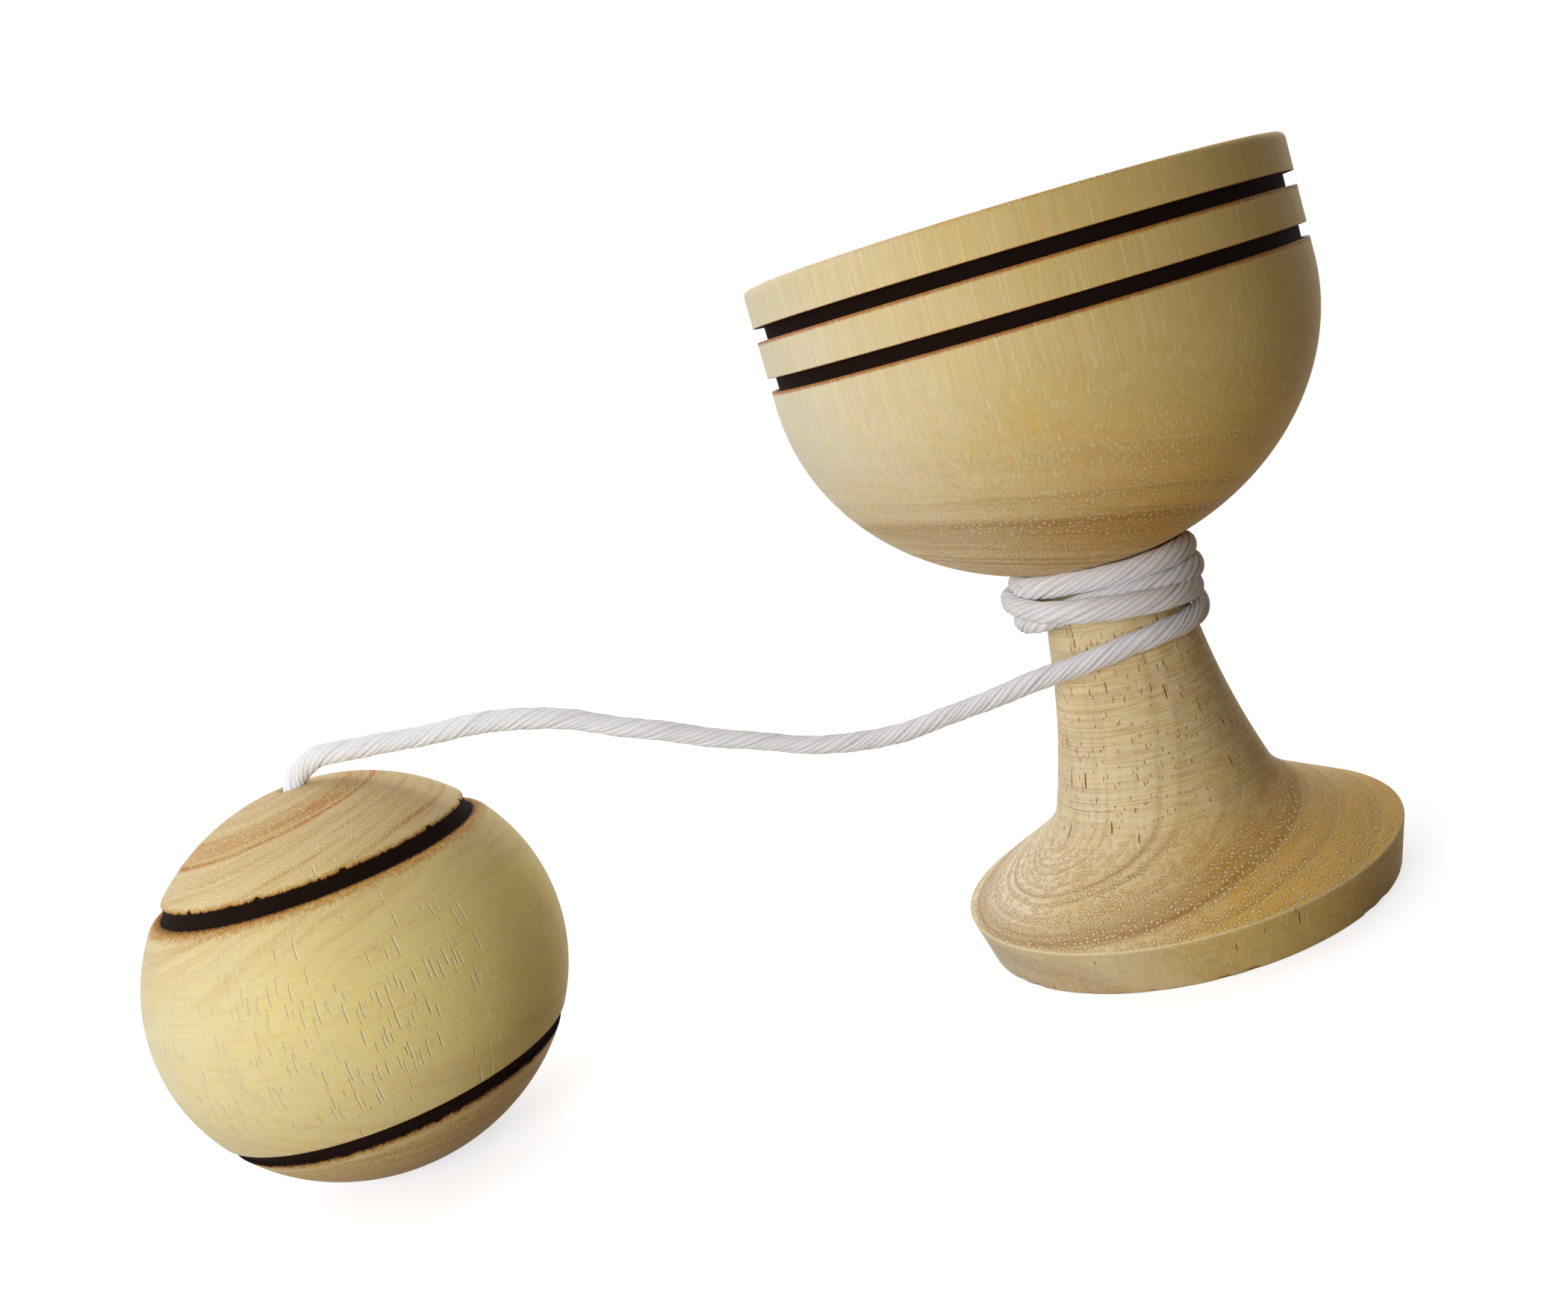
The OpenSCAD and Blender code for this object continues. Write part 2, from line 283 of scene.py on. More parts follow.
# %% The cord's cross directions
def still_frame(path, lean):
    """Tangent and two cross directions that don't spin: a leaning pair, turned back by its summed spin."""
    onward = unit(np.gradient(path, axis=0))
    across = unit(lean - np.sum(lean * onward, axis=1, keepdims=True) * onward)
    beside = np.cross(onward, across)
    spin = np.sum(np.gradient(across, axis=0) * beside, axis=1)
    back = -np.cumsum(spin)[:, None]
    turned = np.cos(back) * across + np.sin(back) * beside
    return onward, turned, np.cross(onward, turned)


def even_steps(path, step):
    """The same path at even steps of length."""
    along = lengths_along(path)
    wanted = np.linspace(0, along[-1], max(int(along[-1] / step), 4) + 1)
    return np.stack([np.interp(wanted, along, path[:, k]) for k in range(3)], axis=1)


step_mm, lean_fade = 0.34, 40
cord_line = even_steps(whole, step_mm)
cord_along = lengths_along(cord_line)
leave_along = lengths_along(whole)[per_step * len(wound_line)]
tip_over = np.clip((cord_along - leave_along) / lean_fade, 0, 1)[:, None] * np.pi / 2
cord_frame = still_frame(cord_line, np.cos(tip_over) * (0, 0, 1) + np.sin(tip_over) * (0, 1, 0))
print(f"{len(cord_line)} rings, {step_mm} mm apart; it leaves the neck after {leave_along:.0f} mm")

# %% [markdown]
# The twine is about ten soft cotton yarns in two strands, laid together with one turn in ten millimetres,
# and one in fifteen where it was pulled round the neck. So slanting lines run across it. The rows of the
# net follow the lay, and each yarn is a ridge of the surface itself: across the cord the radius dips
# between the yarns, and deeper between the strands. On the neck the cord is fuller and pressed flat, and
# towards the ball it is fluffier, so the yarns show less. The straight cord's own coordinates go along as
# an attribute, so that the fibres of the finish follow the yarns in every bend.

# %% The cord's surface
cord_d, wound_d = 2.12, 2.5
yarns = 10
free_lay, wound_lay = 10.5, 15.5
yarn_dip, strand_dip = 0.09, 0.14
strand_gaps, strand_gap_w = (3, 11), 0.17
press_thin, press_tall = 0.16, 0.06
cord_sides = 90


def twine(path, frames, along, twist, thickness, press, crisp):
    """Radius times cross directions turned by the lay: r = R (1 - dip (1 - |cos|)^1.4), a cusp between
    yarns, and a deeper bell-shaped dip at two places. The yarns are unequal, so their angle is warped by
    sines. Pressed on the neck, the cord is 16% thinner away from the axis and 6% taller. Crisp, from 0 to
    1, scales the dips."""
    lay = np.linspace(0, 2 * np.pi, cord_sides, endpoint=False)[None, :]
    yarn_lay = lay + 0.16 * np.sin(lay + 1) + 0.08 * np.sin(2 * lay)
    yarn_hollow = (1 - np.abs(np.cos(yarns * yarn_lay / 2))) ** 1.4
    parting = sum(np.exp(-((yarn_lay - np.pi * k / yarns) / strand_gap_w) ** 2) for k in strand_gaps)
    uneven = 1 + 0.025 * np.cos(3 * lay + along[:, None] / 5) + 0.06 * np.cos(lay - 2.2)
    slack = 1 + 0.03 * np.sin(along / 7.3) + 0.03 * np.sin(along / 3.1 + 1.0)
    round_r = (thickness * slack / 2)[:, None] * uneven
    radius = round_r * (1 - crisp[:, None] * (yarn_dip * yarn_hollow + strand_dip * parting))
    turn = lay - 2 * np.pi * twist[:, None]
    offset = np.cos(turn)[..., None] * frames[1][:, None] + np.sin(turn)[..., None] * frames[2][:, None]
    offset = radius[..., None] * offset
    outward = unit(path * (1, 1, 0))[:, None]
    thinner = np.sum(offset * outward, axis=-1, keepdims=True) * outward
    offset = offset + press[:, None, None] * (press_tall * offset * (0, 0, 1) - press_thin * thinner)
    shape = turn.shape
    straight_place = np.stack([
        np.broadcast_to(along[:, None], shape), np.broadcast_to(np.cos(lay), shape),
        np.broadcast_to(np.sin(lay), shape)], axis=-1)
    hollow = crisp[:, None] * np.maximum(yarn_hollow, parting)
    # Painted shade under the bowl: as much as the cord is pressed on the neck.
    painted_neck_shade = np.broadcast_to(press[:, None], shape)
    return path[:, None] + offset, {"yarn_place": straight_place, "hollow": hollow, "painted_neck_shade": painted_neck_shade}


# Where the cord's make changes, and over which length, in millimetres past the neck.
press_fade = 9
tight_to, tight_fade = 3, 14
fluffy_from, fluffy_fade = 45, 30
fluffy_swell, fluffy_blur = 0.65, 0.28
past_neck = cord_along - leave_along
cord_press = np.clip(1 - past_neck / press_fade, 0, 1)
cord_tight = np.clip(1 - (past_neck - tight_to) / tight_fade, 0, 1)
cord_fluffy = np.clip((past_neck - fluffy_from) / fluffy_fade, 0, 1)
cord_thick = cord_d + (wound_d - cord_d) * np.maximum(cord_tight, fluffy_swell * cord_fluffy)
cord_crisp = 1 - fluffy_blur * cord_fluffy
cord_twist = np.cumsum(np.gradient(cord_along) / (free_lay + (wound_lay - free_lay) * cord_tight))
print(f"cord {cord_d} mm thick, {wound_d} mm on the neck, {yarns} yarns, {cord_twist[-1]:.0f} turns of lay")

# %% [markdown]
# Undyed cotton is a dull, slightly cold white. The fibres scatter light softly, so the finish is rough with
# a little light passing under its surface. The hollows between the yarns are painted greyer, as painted
# shade, broken painted highlights run along the crests, and fine streaks along the yarns stand for the
# fibres. The turns on the neck are painted greyer between the highlights, as painted shade under the bowl.

# %% The cotton finish
# Fibres are about 2 mm long and 0.1 mm wide: per millimetre along the yarn, and per radius round it.
fibre_scale = (0.55, 9.0, 9.0)
fibre_relief, light_depth = 0.08 * MM, 0.6 * MM

cotton, tree, surface = new_finish("twisted_cotton_twine")
place = add_node(tree, "ShaderNodeAttribute", {}, give="Vector", attribute_name="yarn_place")
sunk = add_node(tree, "ShaderNodeAttribute", {}, give="Fac", attribute_name="hollow")
along_yarn = add_node(tree, "ShaderNodeVectorMath", {0: place, 1: fibre_scale}, operation="MULTIPLY")
fibres = add_node(tree, "ShaderNodeTexNoise", {
    "Vector": along_yarn, "Scale": 1.0, "Detail": 4.0, "Roughness": 0.6})
streak = add_node(tree, "ShaderNodeMapRange", {0: fibres, 1: 0.35, 2: 0.65, 3: 0.0, 4: 1.0})
# Painted highlights: broken bright lines are painted along the yarns' crests.
crest = add_node(tree, "ShaderNodeMapRange", {0: sunk, 1: 0.0, 2: 0.25, 3: 1.0, 4: 0.15})
painted_highlight = add_node(tree, "ShaderNodeMath", {0: crest, 1: streak}, operation="MULTIPLY")
# Painted shade: the hollows between the yarns are painted greyer.
painted_hollow_shade = add_node(tree, "ShaderNodeMapRange", {0: sunk, 1: 0.4, 2: 1.0, 3: 0.0, 4: 0.55})
# Painted shade under the bowl: the turns on the neck are painted greyer.
painted_neck_shade = add_node(tree, "ShaderNodeAttribute", {}, give="Fac", attribute_name="painted_neck_shade")
ground = add_node(tree, "ShaderNodeMixRGB", {
    "Fac": painted_neck_shade, "Color1": linear("#f3f5fc"), "Color2": linear("#e0e0e6")})
pale = add_node(tree, "ShaderNodeMixRGB", {"Fac": painted_highlight, "Color1": ground, "Color2": linear("#ffffff")})
yarn_colour = add_node(tree, "ShaderNodeMixRGB", {
    "Fac": painted_hollow_shade, "Color1": pale, "Color2": linear("#cec8ce")})
relief = add_node(tree, "ShaderNodeBump", {"Height": fibres, "Strength": 0.5, "Distance": fibre_relief})
shine = add_node(tree, "ShaderNodeBsdfPrincipled", {
    "Base Color": yarn_colour, "Roughness": 0.85, "Specular IOR Level": 0.2, "Normal": relief,
    "Subsurface Weight": 0.12, "Subsurface Radius": [light_depth] * 3, "Subsurface Scale": 1.0,
    "Sheen Weight": 0.15, "Sheen Roughness": 0.6})
tree.links.new(shine, surface)
print("finish:", cotton.name)

# %% [markdown]
# The winding and the free cord are two pieces, because the ball's end swings and the winding doesn't. They
# part behind the neck, at the right, where nothing shows it. The free cord is one soft piece: it takes in
# the end of the winding, runs on to the ball's end, bent smoothly on its way, and stays where it lies.

# %% The winding and the free cord
part_turn = 3.12
part_along = lengths_along(whole)[per_step * (1 + int(np.argmin(np.abs(wound[:, 0] - part_turn))))]
part_row = int(np.searchsorted(cord_along, part_along))
wind = slice(0, part_row + 1)
free = slice(part_row, len(cord_line))


def cord_rows(rows):
    """The stretch of twine between two rows of the whole cord."""
    return twine(cord_line[rows], [f[rows] for f in cord_frame], cord_along[rows],
                 cord_twist[rows], cord_thick[rows], cord_press[rows], cord_crisp[rows])


winding = net_mesh("cord_winding_strands", [cord_rows(wind)], cotton)
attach(winding, "cord_wrap")
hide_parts("cord_winding")

free_cord = net_mesh("cord_free_strands", [cord_rows(free)], cotton)
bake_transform(free_cord)
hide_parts("cord_lead", "cord_span", "cord_in_ball")

# %% [markdown]
# Both ends of the cord are knotted: behind the neck, where it is tied, and in the recess under the ball,
# where it can't slip back through the bore. A knot is the same twine carried along a trefoil, the line of
# a plain overhand knot, with a short end standing out of it.

# %% The knots
knot_d = 0.9 * cord_d
knot_depth = 1.35
neck_knot_size, stop_knot_size = 0.62, 0.66


def trefoil(centre, across, up, out, size):
    """An overhand knot's line: (sin t + 2 sin 2t, cos t - 2 cos 2t, -sin 3t), sized, on three axes."""
    t = np.linspace(0, 2 * np.pi, 160)[:, None]
    wide, tall, deep = np.sin(t) + 2 * np.sin(2 * t), np.cos(t) - 2 * np.cos(2 * t), -np.sin(3 * t)
    return centre + size * (wide * across + tall * up + knot_depth * deep * out)


def knot_nets(loop, tail, out):
    """The knot's ring of twine, opened where its ends meet, and its short tail, as two nets."""
    nets = []
    for path in (loop, curve_through(tail, lengths_along(tail), 8)):
        even = even_steps(path, step_mm)
        frames = still_frame(even, np.broadcast_to(out, even.shape))
        along = lengths_along(even)
        thick, loose, crisp = np.full(len(even), knot_d), np.zeros(len(even)), np.ones(len(even))
        nets.append(twine(even, frames, along, along / free_lay, thick, loose, crisp))
    return nets


side_x, side_y, side_z = np.eye(3)
behind = unit(knot_at * (1, 1, 0))
sideways = np.cross(side_z, behind)
tail_steps = [(0, 0, 0), (1.4, -1.6, 0.6), (2.4, -3.6, 0.8), (2.7, -5.6, 0.5)]
tail = knot_at + np.array(tail_steps) @ np.stack([sideways, side_z, behind])
neck_knot = net_mesh("neck_knot_strands", knot_nets(
    trefoil(knot_at, sideways, side_z, behind, neck_knot_size), tail, behind), cotton)
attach(neck_knot, "cord_wrap")
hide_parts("neck_knot")

stop_tail = stopper_at + np.array([(0, 0, 0), (0.8, 0.4, -1.4), (1.3, 0.8, -2.8)])
stop_knot = net_mesh("stopper_knot_strands", knot_nets(
    trefoil(stopper_at, side_x, side_y, side_z, stop_knot_size), stop_tail, side_z), cotton)
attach(stop_knot, "cord_span")
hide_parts("stopper_knot")

# %% [markdown]
# Loose fibres stand off the cotton all along it and catch the light at its edges. Each is a thin tapered
# tube of three sides, rooted in the cord, which rises, bends over and trails along it. Real fibres are
# about 0.02 mm thick; here they are drawn twice as thick, so that they show. One has come loose and lies on
# the stem as a small open loop.

# %% The fuzz
fibre_r, stray_r, fibre_sides = 0.024, 0.02, 3
root_share = 0.42


def fuzz_nets(rows, count, seed):
    """Seeded fibres: root + length (lift (2s - s^2) out + s along + s^2 beside), s from 0 to 1."""
    luck = np.random.default_rng(seed)
    pick = luck.integers(rows.start, rows.stop, count)
    onward, first, second = (f[pick][:, None] for f in cord_frame)
    around = luck.uniform(0, 2 * np.pi, (count, 1, 1))
    out = np.cos(around) * first + np.sin(around) * second
    beside = np.cross(onward, out)
    lift = luck.uniform(0.15, 0.55, (count, 1, 1))
    trail, swing = luck.uniform(-1, 1, (2, count, 1, 1))
    length = luck.uniform(0.7, 2.2, (count, 1, 1))
    s = np.linspace(0, 1, 7)[None, :, None]
    root = cord_line[pick][:, None] + root_share * cord_thick[pick][:, None, None] * out
    line = root + length * (lift * (2 * s - s**2) * out + trail * s * onward + 0.6 * swing * s**2 * beside)
    around_fibre = np.linspace(0, 2 * np.pi, fibre_sides, endpoint=False)[None, None, :, None]
    ring = np.cos(around_fibre) * out[:, :, None] + np.sin(around_fibre) * beside[:, :, None]
    tubes = line[:, :, None] + fibre_r * (1 - 0.7 * s[..., None]) * ring
    place = np.zeros(tubes.shape[1:])
    clean = place[..., 0]
    return [(tube, {"yarn_place": place, "hollow": clean, "painted_neck_shade": clean}) for tube in tubes]


def loose_loop(middle, size):
    """A fibre lying on the stem: 7/8 of a circle, with (x, y) scaled to the stem's radius."""
    turn = np.linspace(0, 1.75 * np.pi, 28)[:, None]
    aside = unit(np.array((-middle[1], middle[0], 0.0)))
    line = np.array(middle) + size * (np.cos(turn) * aside + np.sin(turn) * (0, 0, 1))
    stem_r = np.hypot(middle[0], middle[1])
    line[:, :2] *= stem_r / np.linalg.norm(line[:, :2], axis=1, keepdims=True)
    outward, beside = unit(line * (1, 1, 0)), np.gradient(line, axis=0)
    side = np.cross(unit(beside), outward)
    around = np.linspace(0, 2 * np.pi, fibre_sides, endpoint=False)[None, :, None]
    tube = line[:, None] + stray_r * (np.cos(around) * outward[:, None] + np.sin(around) * side[:, None])
    clean = np.zeros(tube.shape[:2])
    return tube, {"yarn_place": np.zeros(tube.shape), "hollow": clean, "painted_neck_shade": clean}


stray = loose_loop((6.1, -6.6, 31.6), 1.1)
winding_fuzz = net_mesh("cord_winding_fuzz", [*fuzz_nets(wind, 300, 11), stray], cotton)
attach(winding_fuzz, "cord_wrap")
free_fuzz = net_mesh("cord_free_fuzz", fuzz_nets(free, 200, 12), cotton)
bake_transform(free_fuzz)

# %% [markdown]
# The free cord and the winding have their real length and thickness, and start and end where the cord's
# line does.

# %% [markdown]
# The wooden pieces are turned on a lathe, so each is an outline carried round an axis. The outline has a
# third number beside radius and height: how far that place was scorched when the grooves were burnt in with
# a hot wire, from 0 on clean wood to 1 in the groove. Straight runs have points close together near their
# ends, which keeps the edges crisp, and a corner can be eased a little, as a worn edge is.

# %% Outlines for the lathe
def straight(a, b, count):
    """From a to b, points crowding at both ends: share = (1 - cos(pi step)) / 2."""
    share = (1 - np.cos(np.linspace(0, np.pi, count))) / 2
    return a + share[:, None] * (b - a)


def bent(a, b, c, count):
    """A curve from a to c drawn towards b: a (1 - t)^2 + 2 b t (1 - t) + c t^2."""
    t = np.linspace(0, 1, count)[:, None]
    return a * (1 - t) ** 2 + 2 * b * t * (1 - t) + c * t**2


def cornered(corners):
    """An outline through corners (radius, height, scorch, ease, points): straight runs, eased corners."""
    table = np.array(corners, float)
    places, eases, counts = table[:, :3], table[:, 3:4], table[:, 4].astype(int)
    runs = places[1:] - places[:-1]
    ways = runs / np.linalg.norm(runs[:, :2], axis=1, keepdims=True)
    leave = places[:-1] + ways * eases[:-1]
    arrive = places[1:] - ways * eases[1:]
    parts = []
    for i in range(len(runs)):
        parts.append(straight(leave[i], arrive[i], counts[i]))
        if i + 1 < len(runs) and eases[i + 1, 0] > 0:
            parts.append(bent(arrive[i], places[i + 1], leave[i + 1], 5)[1:-1])
    return np.concatenate(parts)


def without_doubles(outline):
    """Leaves out points that lie on the one before them."""
    steps = np.linalg.norm(np.diff(outline[:, :2], axis=0), axis=1)
    return outline[np.concatenate([[True], steps > 1e-4])]


def across_grain(outline):
    """How far the grain is cut across: |dr| / sqrt(dr^2 + dz^2), from 0 on a wall to 1 on a flat."""
    step = np.gradient(outline[:, :2], axis=0)
    return np.abs(step[:, 0]) / np.linalg.norm(step, axis=1)


def lathe(outline, columns):
    """Each outline point goes round the axis: (r cos a, r sin a, z), one column per angle."""
    angle = np.linspace(0, 2 * np.pi, columns, endpoint=False)[None, :]
    r, z = outline[:, :1], outline[:, 1:2]
    grid = np.stack([r * np.cos(angle), r * np.sin(angle), z + 0 * angle], axis=-1)
    return grid, angle


print("a corner eased:", len(cornered([(1, 0, 0, 0, 4), (1, 1, 0, 0.2, 4), (0, 1, 0, 0, 4)])), "points")

# %% [markdown]
# The goblet's outline runs from the middle of its base over the foot, up the stem and the bowl, over the
# rim and down into the cup. The foot leans out to a crisp edge, the cove above it is a curve that leaves
# the foot's top and meets the stem without a kink, and the bowl's underside is a quarter of an ellipse.

# %% The goblet's sizes
goblet_h, rim_d, bowl_d, wall_h, bowl_drop = 81.8, 60.8, 61.1, 13.4, 26.6
cup_r, cup_depth, rim_round = 26.0, 34.0, 0.8
neck_r, stem_top_r, stem_top_h = 8.2, 8.8, 32.0
stem_mid_r, stem_low_r, cove_top_h = 9.9, 12.9, 14.5
cove_end_r, cove_end_h = 18.2, 9.9
foot_r, foot_edge_h, foot_base_r = 26.1, 5.6, 24.6
neck_h, neck_corner_h, neck_corner_in = 35.8, 34.0, 0.25
groove_w = 1.5
low_groove_drop, low_groove_depth = 10.4, 0.9
top_groove_drop, top_groove_depth = 4.9, 1.2


def groove(middle, depth):
    """Corners of a burnt groove in the bowl's wall, from below: singed lip, black floor, singed lip."""
    low, high = middle - groove_w / 2, middle + groove_w / 2
    r = (rim_d + (bowl_d - rim_d) * (goblet_h - middle) / wall_h) / 2
    return [
        (r, low - 0.6, 0, 0, 3), (r, low - 0.25, 0.4, 0, 3), (r, low, 0.55, 0.1, 4),
        (r - depth * 0.6, low, 0.54, 0, 3), (r - depth, low, 0.8, 0.1, 6), (r - depth, high, 1, 0.1, 4),
        (r - depth * 0.3, high, 0.9, 0, 3), (r, high, 0.5, 0.08, 4), (r, high + 0.2, 0, 0, 10),
    ]


print("goblet sizes set, grooves", groove_w, "mm wide")

# %% [markdown]
# The curves are worked out first: the bowl's underside, the cup inside, and the corner that the cove is
# drawn towards, which is where the lines of the stem and of the foot's top would cross.

# %% The goblet's outline
bowl_mid = goblet_h - wall_h
bowl_angle = np.linspace(np.arcsin(neck_r / (bowl_d / 2)), np.pi / 2, 60)
bowl_line = np.stack([
    bowl_d / 2 * np.sin(bowl_angle), bowl_mid - bowl_drop * np.cos(bowl_angle), 0 * bowl_angle], axis=1)
cup_angle = np.linspace(0, np.pi / 2 - 0.012, 26)
cup_floor = goblet_h - cup_depth
cup_line = np.stack([
    cup_r * np.cos(cup_angle), cup_floor + cup_r * (1 - np.sin(cup_angle)), 0 * cup_angle], axis=1)

stem_low = np.array((stem_low_r, cove_top_h, 0))
stem_mid = np.array((stem_mid_r, (stem_top_h + cove_top_h) / 2, 0))
stem_top = np.array((stem_top_r, stem_top_h, 0))
neck_corner = np.array((stem_top_r - neck_corner_in, neck_corner_h, 0))
neck = np.array((neck_r, neck_h, 0))
cove_end = np.array((cove_end_r, cove_end_h, 0))
stem_slope = (stem_mid - stem_low)[1] / (stem_mid - stem_low)[0]
foot_slope = (foot_edge_h - cove_end_h) / (foot_r - cove_end_r)
rise = cove_end_h - cove_top_h + stem_slope * stem_low_r - foot_slope * cove_end_r
corner_r = rise / (stem_slope - foot_slope)
cove_corner = np.array((corner_r, cove_top_h + stem_slope * (corner_r - stem_low_r), 0))

goblet_outline = without_doubles(np.concatenate([
    cornered([(0.3, 0, 0, 0, 8), (foot_base_r, 0, 0, 0.3, 12), (foot_r, foot_edge_h, 0, 0.22, 24),
              (*cove_end, 0, 1)]),
    bent(cove_end, cove_corner, stem_low, 22),
    bent(stem_low, stem_mid, stem_top, 40),
    bent(stem_top, neck_corner, neck, 7),
    bowl_line,
    cornered([(*bowl_line[-1], 0, 6), *groove(goblet_h - low_groove_drop, low_groove_depth),
              *groove(goblet_h - top_groove_drop, top_groove_depth),
              (rim_d / 2, goblet_h, 0, rim_round, 8), (cup_r, goblet_h, 0, 0.5, 8), (*cup_line[0], 0, 1)]),
    cup_line,
]))
print(f"goblet outline: {len(goblet_outline)} points")

# %% [markdown]
# Plain pale hardwood, turned and left bare. The stock was a young trunk, so the heart of the tree lies
# inside the piece, a little off its axis, and the growth rings are tubes round it. The goblet's tree grew
# more on one side, so the middle of each ring lies further that way than the one before. All patterns are
# drawn in millimetres from the piece's own middle.

# %% Wood: distance from the heart
level_part, upright_part = (1.0, 1.0, 0.0), (0.0, 0.0, 1.0)
wander_per_mm = 0.05


def wood_place(tree, middle):
    """Place on the piece in millimetres from its middle."""
    place = add_node(tree, "ShaderNodeTexCoord", {}, give="Object")
    in_mm = add_node(tree, "ShaderNodeVectorMath", {0: place, "Scale": 1 / MM}, operation="SCALE")
    return add_node(tree, "ShaderNodeVectorMath", {0: in_mm, 1: middle}, operation="SUBTRACT")


def ring_radius(tree, local, heart, lean, stray):
    """The r of the ring through a place q from the heart: |q - r lean| = r, solved for r. Noise moves q."""
    wander = add_node(tree, "ShaderNodeTexNoise", {
        "Vector": local, "Scale": wander_per_mm, "Detail": 4.0}, give="Color")
    strayed = add_node(tree, "ShaderNodeVectorMath", {
        0: wander, 1: (stray, stray, 0.0), 2: local}, operation="MULTIPLY_ADD")
    start = (heart[0] + stray / 2, heart[1] + stray / 2, 0.0)
    off = add_node(tree, "ShaderNodeVectorMath", {0: strayed, 1: start}, operation="SUBTRACT")
    level = add_node(tree, "ShaderNodeVectorMath", {0: off, 1: level_part}, operation="MULTIPLY")
    square = add_node(tree, "ShaderNodeVectorMath", {0: level, 1: level}, give="Value",
                      operation="DOT_PRODUCT")
    along = add_node(tree, "ShaderNodeVectorMath", {0: level, 1: (*lean, 0.0)}, give="Value",
                     operation="DOT_PRODUCT")
    along_square = add_node(tree, "ShaderNodeMath", {0: along, 1: along}, operation="MULTIPLY")
    rest = 1 - lean[0] ** 2 - lean[1] ** 2
    under = add_node(tree, "ShaderNodeMath", {0: square, 1: rest, 2: along_square},
                     operation="MULTIPLY_ADD")
    root = add_node(tree, "ShaderNodeMath", {0: under}, operation="SQRT")
    span = add_node(tree, "ShaderNodeMath", {0: root, 1: along}, operation="SUBTRACT")
    return add_node(tree, "ShaderNodeMath", {0: span, 1: rest}, operation="DIVIDE")


print(f"the rings' wander changes over about {1 / wander_per_mm:.0f} mm")

# %% [markdown]
# The rings' radii are those that the foot, the bowl's underside and the ball's top show. A ring darkens
# slowly outwards and ends in a thin pale line. Few of them stand out, so each has its own strength, and a
# few dark bands are added. Fine brown streaks that follow the rings break them up.

# %% Wood: growth rings
# The share of its width at which a ring is darkest, and the size of a streak along the rings.
ring_turn = 0.93
streak_long, streak_slim = 10.0, 16.0


def growth_rings(tree, local, radius, years, bands, faint, strong, streak):
    """Place within the ring from 0 to 1, how dark it is, and its pale closing line; years are radii in
    mm. A ring's own strength is drawn between faint and strong, and noise that is stretched along the rings
    adds streaks."""
    share = add_node(tree, "ShaderNodeMath", {0: radius, 1: years[-1]}, operation="DIVIDE")
    ramp = add_node(tree, "ShaderNodeValToRGB", {0: share})
    stops = ramp.node.color_ramp.elements
    for number, year in enumerate(years[1:-1], start=1):
        height = number / (len(years) - 1)
        stops.new(year / years[-1]).color = (height, height, height, 1.0)
    count = add_node(tree, "ShaderNodeMath", {0: ramp, 1: len(years) - 1.0}, operation="MULTIPLY")
    ring = add_node(tree, "ShaderNodeMath", {0: count}, operation="FRACT")
    number = add_node(tree, "ShaderNodeMath", {0: count}, operation="FLOOR")
    luck = add_node(tree, "ShaderNodeTexWhiteNoise", {"W": number}, noise_dimensions="1D")
    power = add_node(tree, "ShaderNodeMapRange", {0: luck, 1: 0.0, 2: 1.0, 3: faint, 4: strong})
    rise = add_node(tree, "ShaderNodeMapRange", {0: ring, 1: 0.4, 2: ring_turn, 3: 0.0, 4: 1.0})
    fall = add_node(tree, "ShaderNodeMapRange", {0: ring, 1: ring_turn, 2: 1.0, 3: 1.0, 4: 0.0})
    late = add_node(tree, "ShaderNodeMath", {0: rise, 1: fall}, operation="MULTIPLY")
    dark = add_node(tree, "ShaderNodeMath", {0: late, 1: power}, operation="MULTIPLY")
    for band_r, band_w, strength in bands:
        off = add_node(tree, "ShaderNodeMath", {0: radius, 1: band_r}, operation="SUBTRACT")
        away = add_node(tree, "ShaderNodeMath", {0: off}, operation="ABSOLUTE")
        band = add_node(tree, "ShaderNodeMapRange", {0: away, 1: 0.0, 2: band_w, 3: strength, 4: 0.0},
                        interpolation_type="SMOOTHSTEP")
        dark = add_node(tree, "ShaderNodeMath", {0: dark, 1: band}, operation="MAXIMUM")
    outward = add_node(tree, "ShaderNodeCombineXYZ", {0: radius})
    drawn = add_node(tree, "ShaderNodeVectorMath", {0: outward, "Scale": streak_slim}, operation="SCALE")
    flow = add_node(tree, "ShaderNodeVectorMath", {0: drawn, 1: local}, operation="ADD")
    streaks = add_node(tree, "ShaderNodeTexNoise", {
        "Vector": flow, "Scale": 1 / streak_long, "Detail": 3.0, "Roughness": 0.6})
    brown = add_node(tree, "ShaderNodeMapRange", {0: streaks, 1: 0.45, 2: 0.72, 3: 0.0, 4: streak})
    dark = add_node(tree, "ShaderNodeMath", {0: dark, 1: brown}, operation="ADD", use_clamp=True)
    begin = add_node(tree, "ShaderNodeMapRange", {0: ring, 1: ring_turn, 2: 0.96, 3: 0.0, 4: 1.0})
    end = add_node(tree, "ShaderNodeMapRange", {0: ring, 1: 0.97, 2: 1.0, 3: 1.0, 4: 0.0})
    line = add_node(tree, "ShaderNodeMath", {0: begin, 1: end}, operation="MULTIPLY")
    return ring, dark, line


print(f"streaks {streak_long / streak_slim:.1f} mm wide and {streak_long:.0f} mm long")

# %% [markdown]
# Vessels are the tubes that the tree drew water through. They run along the grain with a slight sway. Each
# is a dark pore, 0.1 mm wide, in a pale sheath of 0.3 mm, and they stand closer towards the end of a ring.
# So one and the same pattern of tubes gives pale dots where the grain is cut across, dashes on a slope and
# fine broken lines on a wall. In the later rings, further out, they are smaller and closer. The pores are
# filled where the wood was sanded and open where it was only cut.

# %% Wood: vessels
sway_mm, jag_mm = 1.4, 0.25
slim_vessel, wide_vessel = 0.22, 0.34


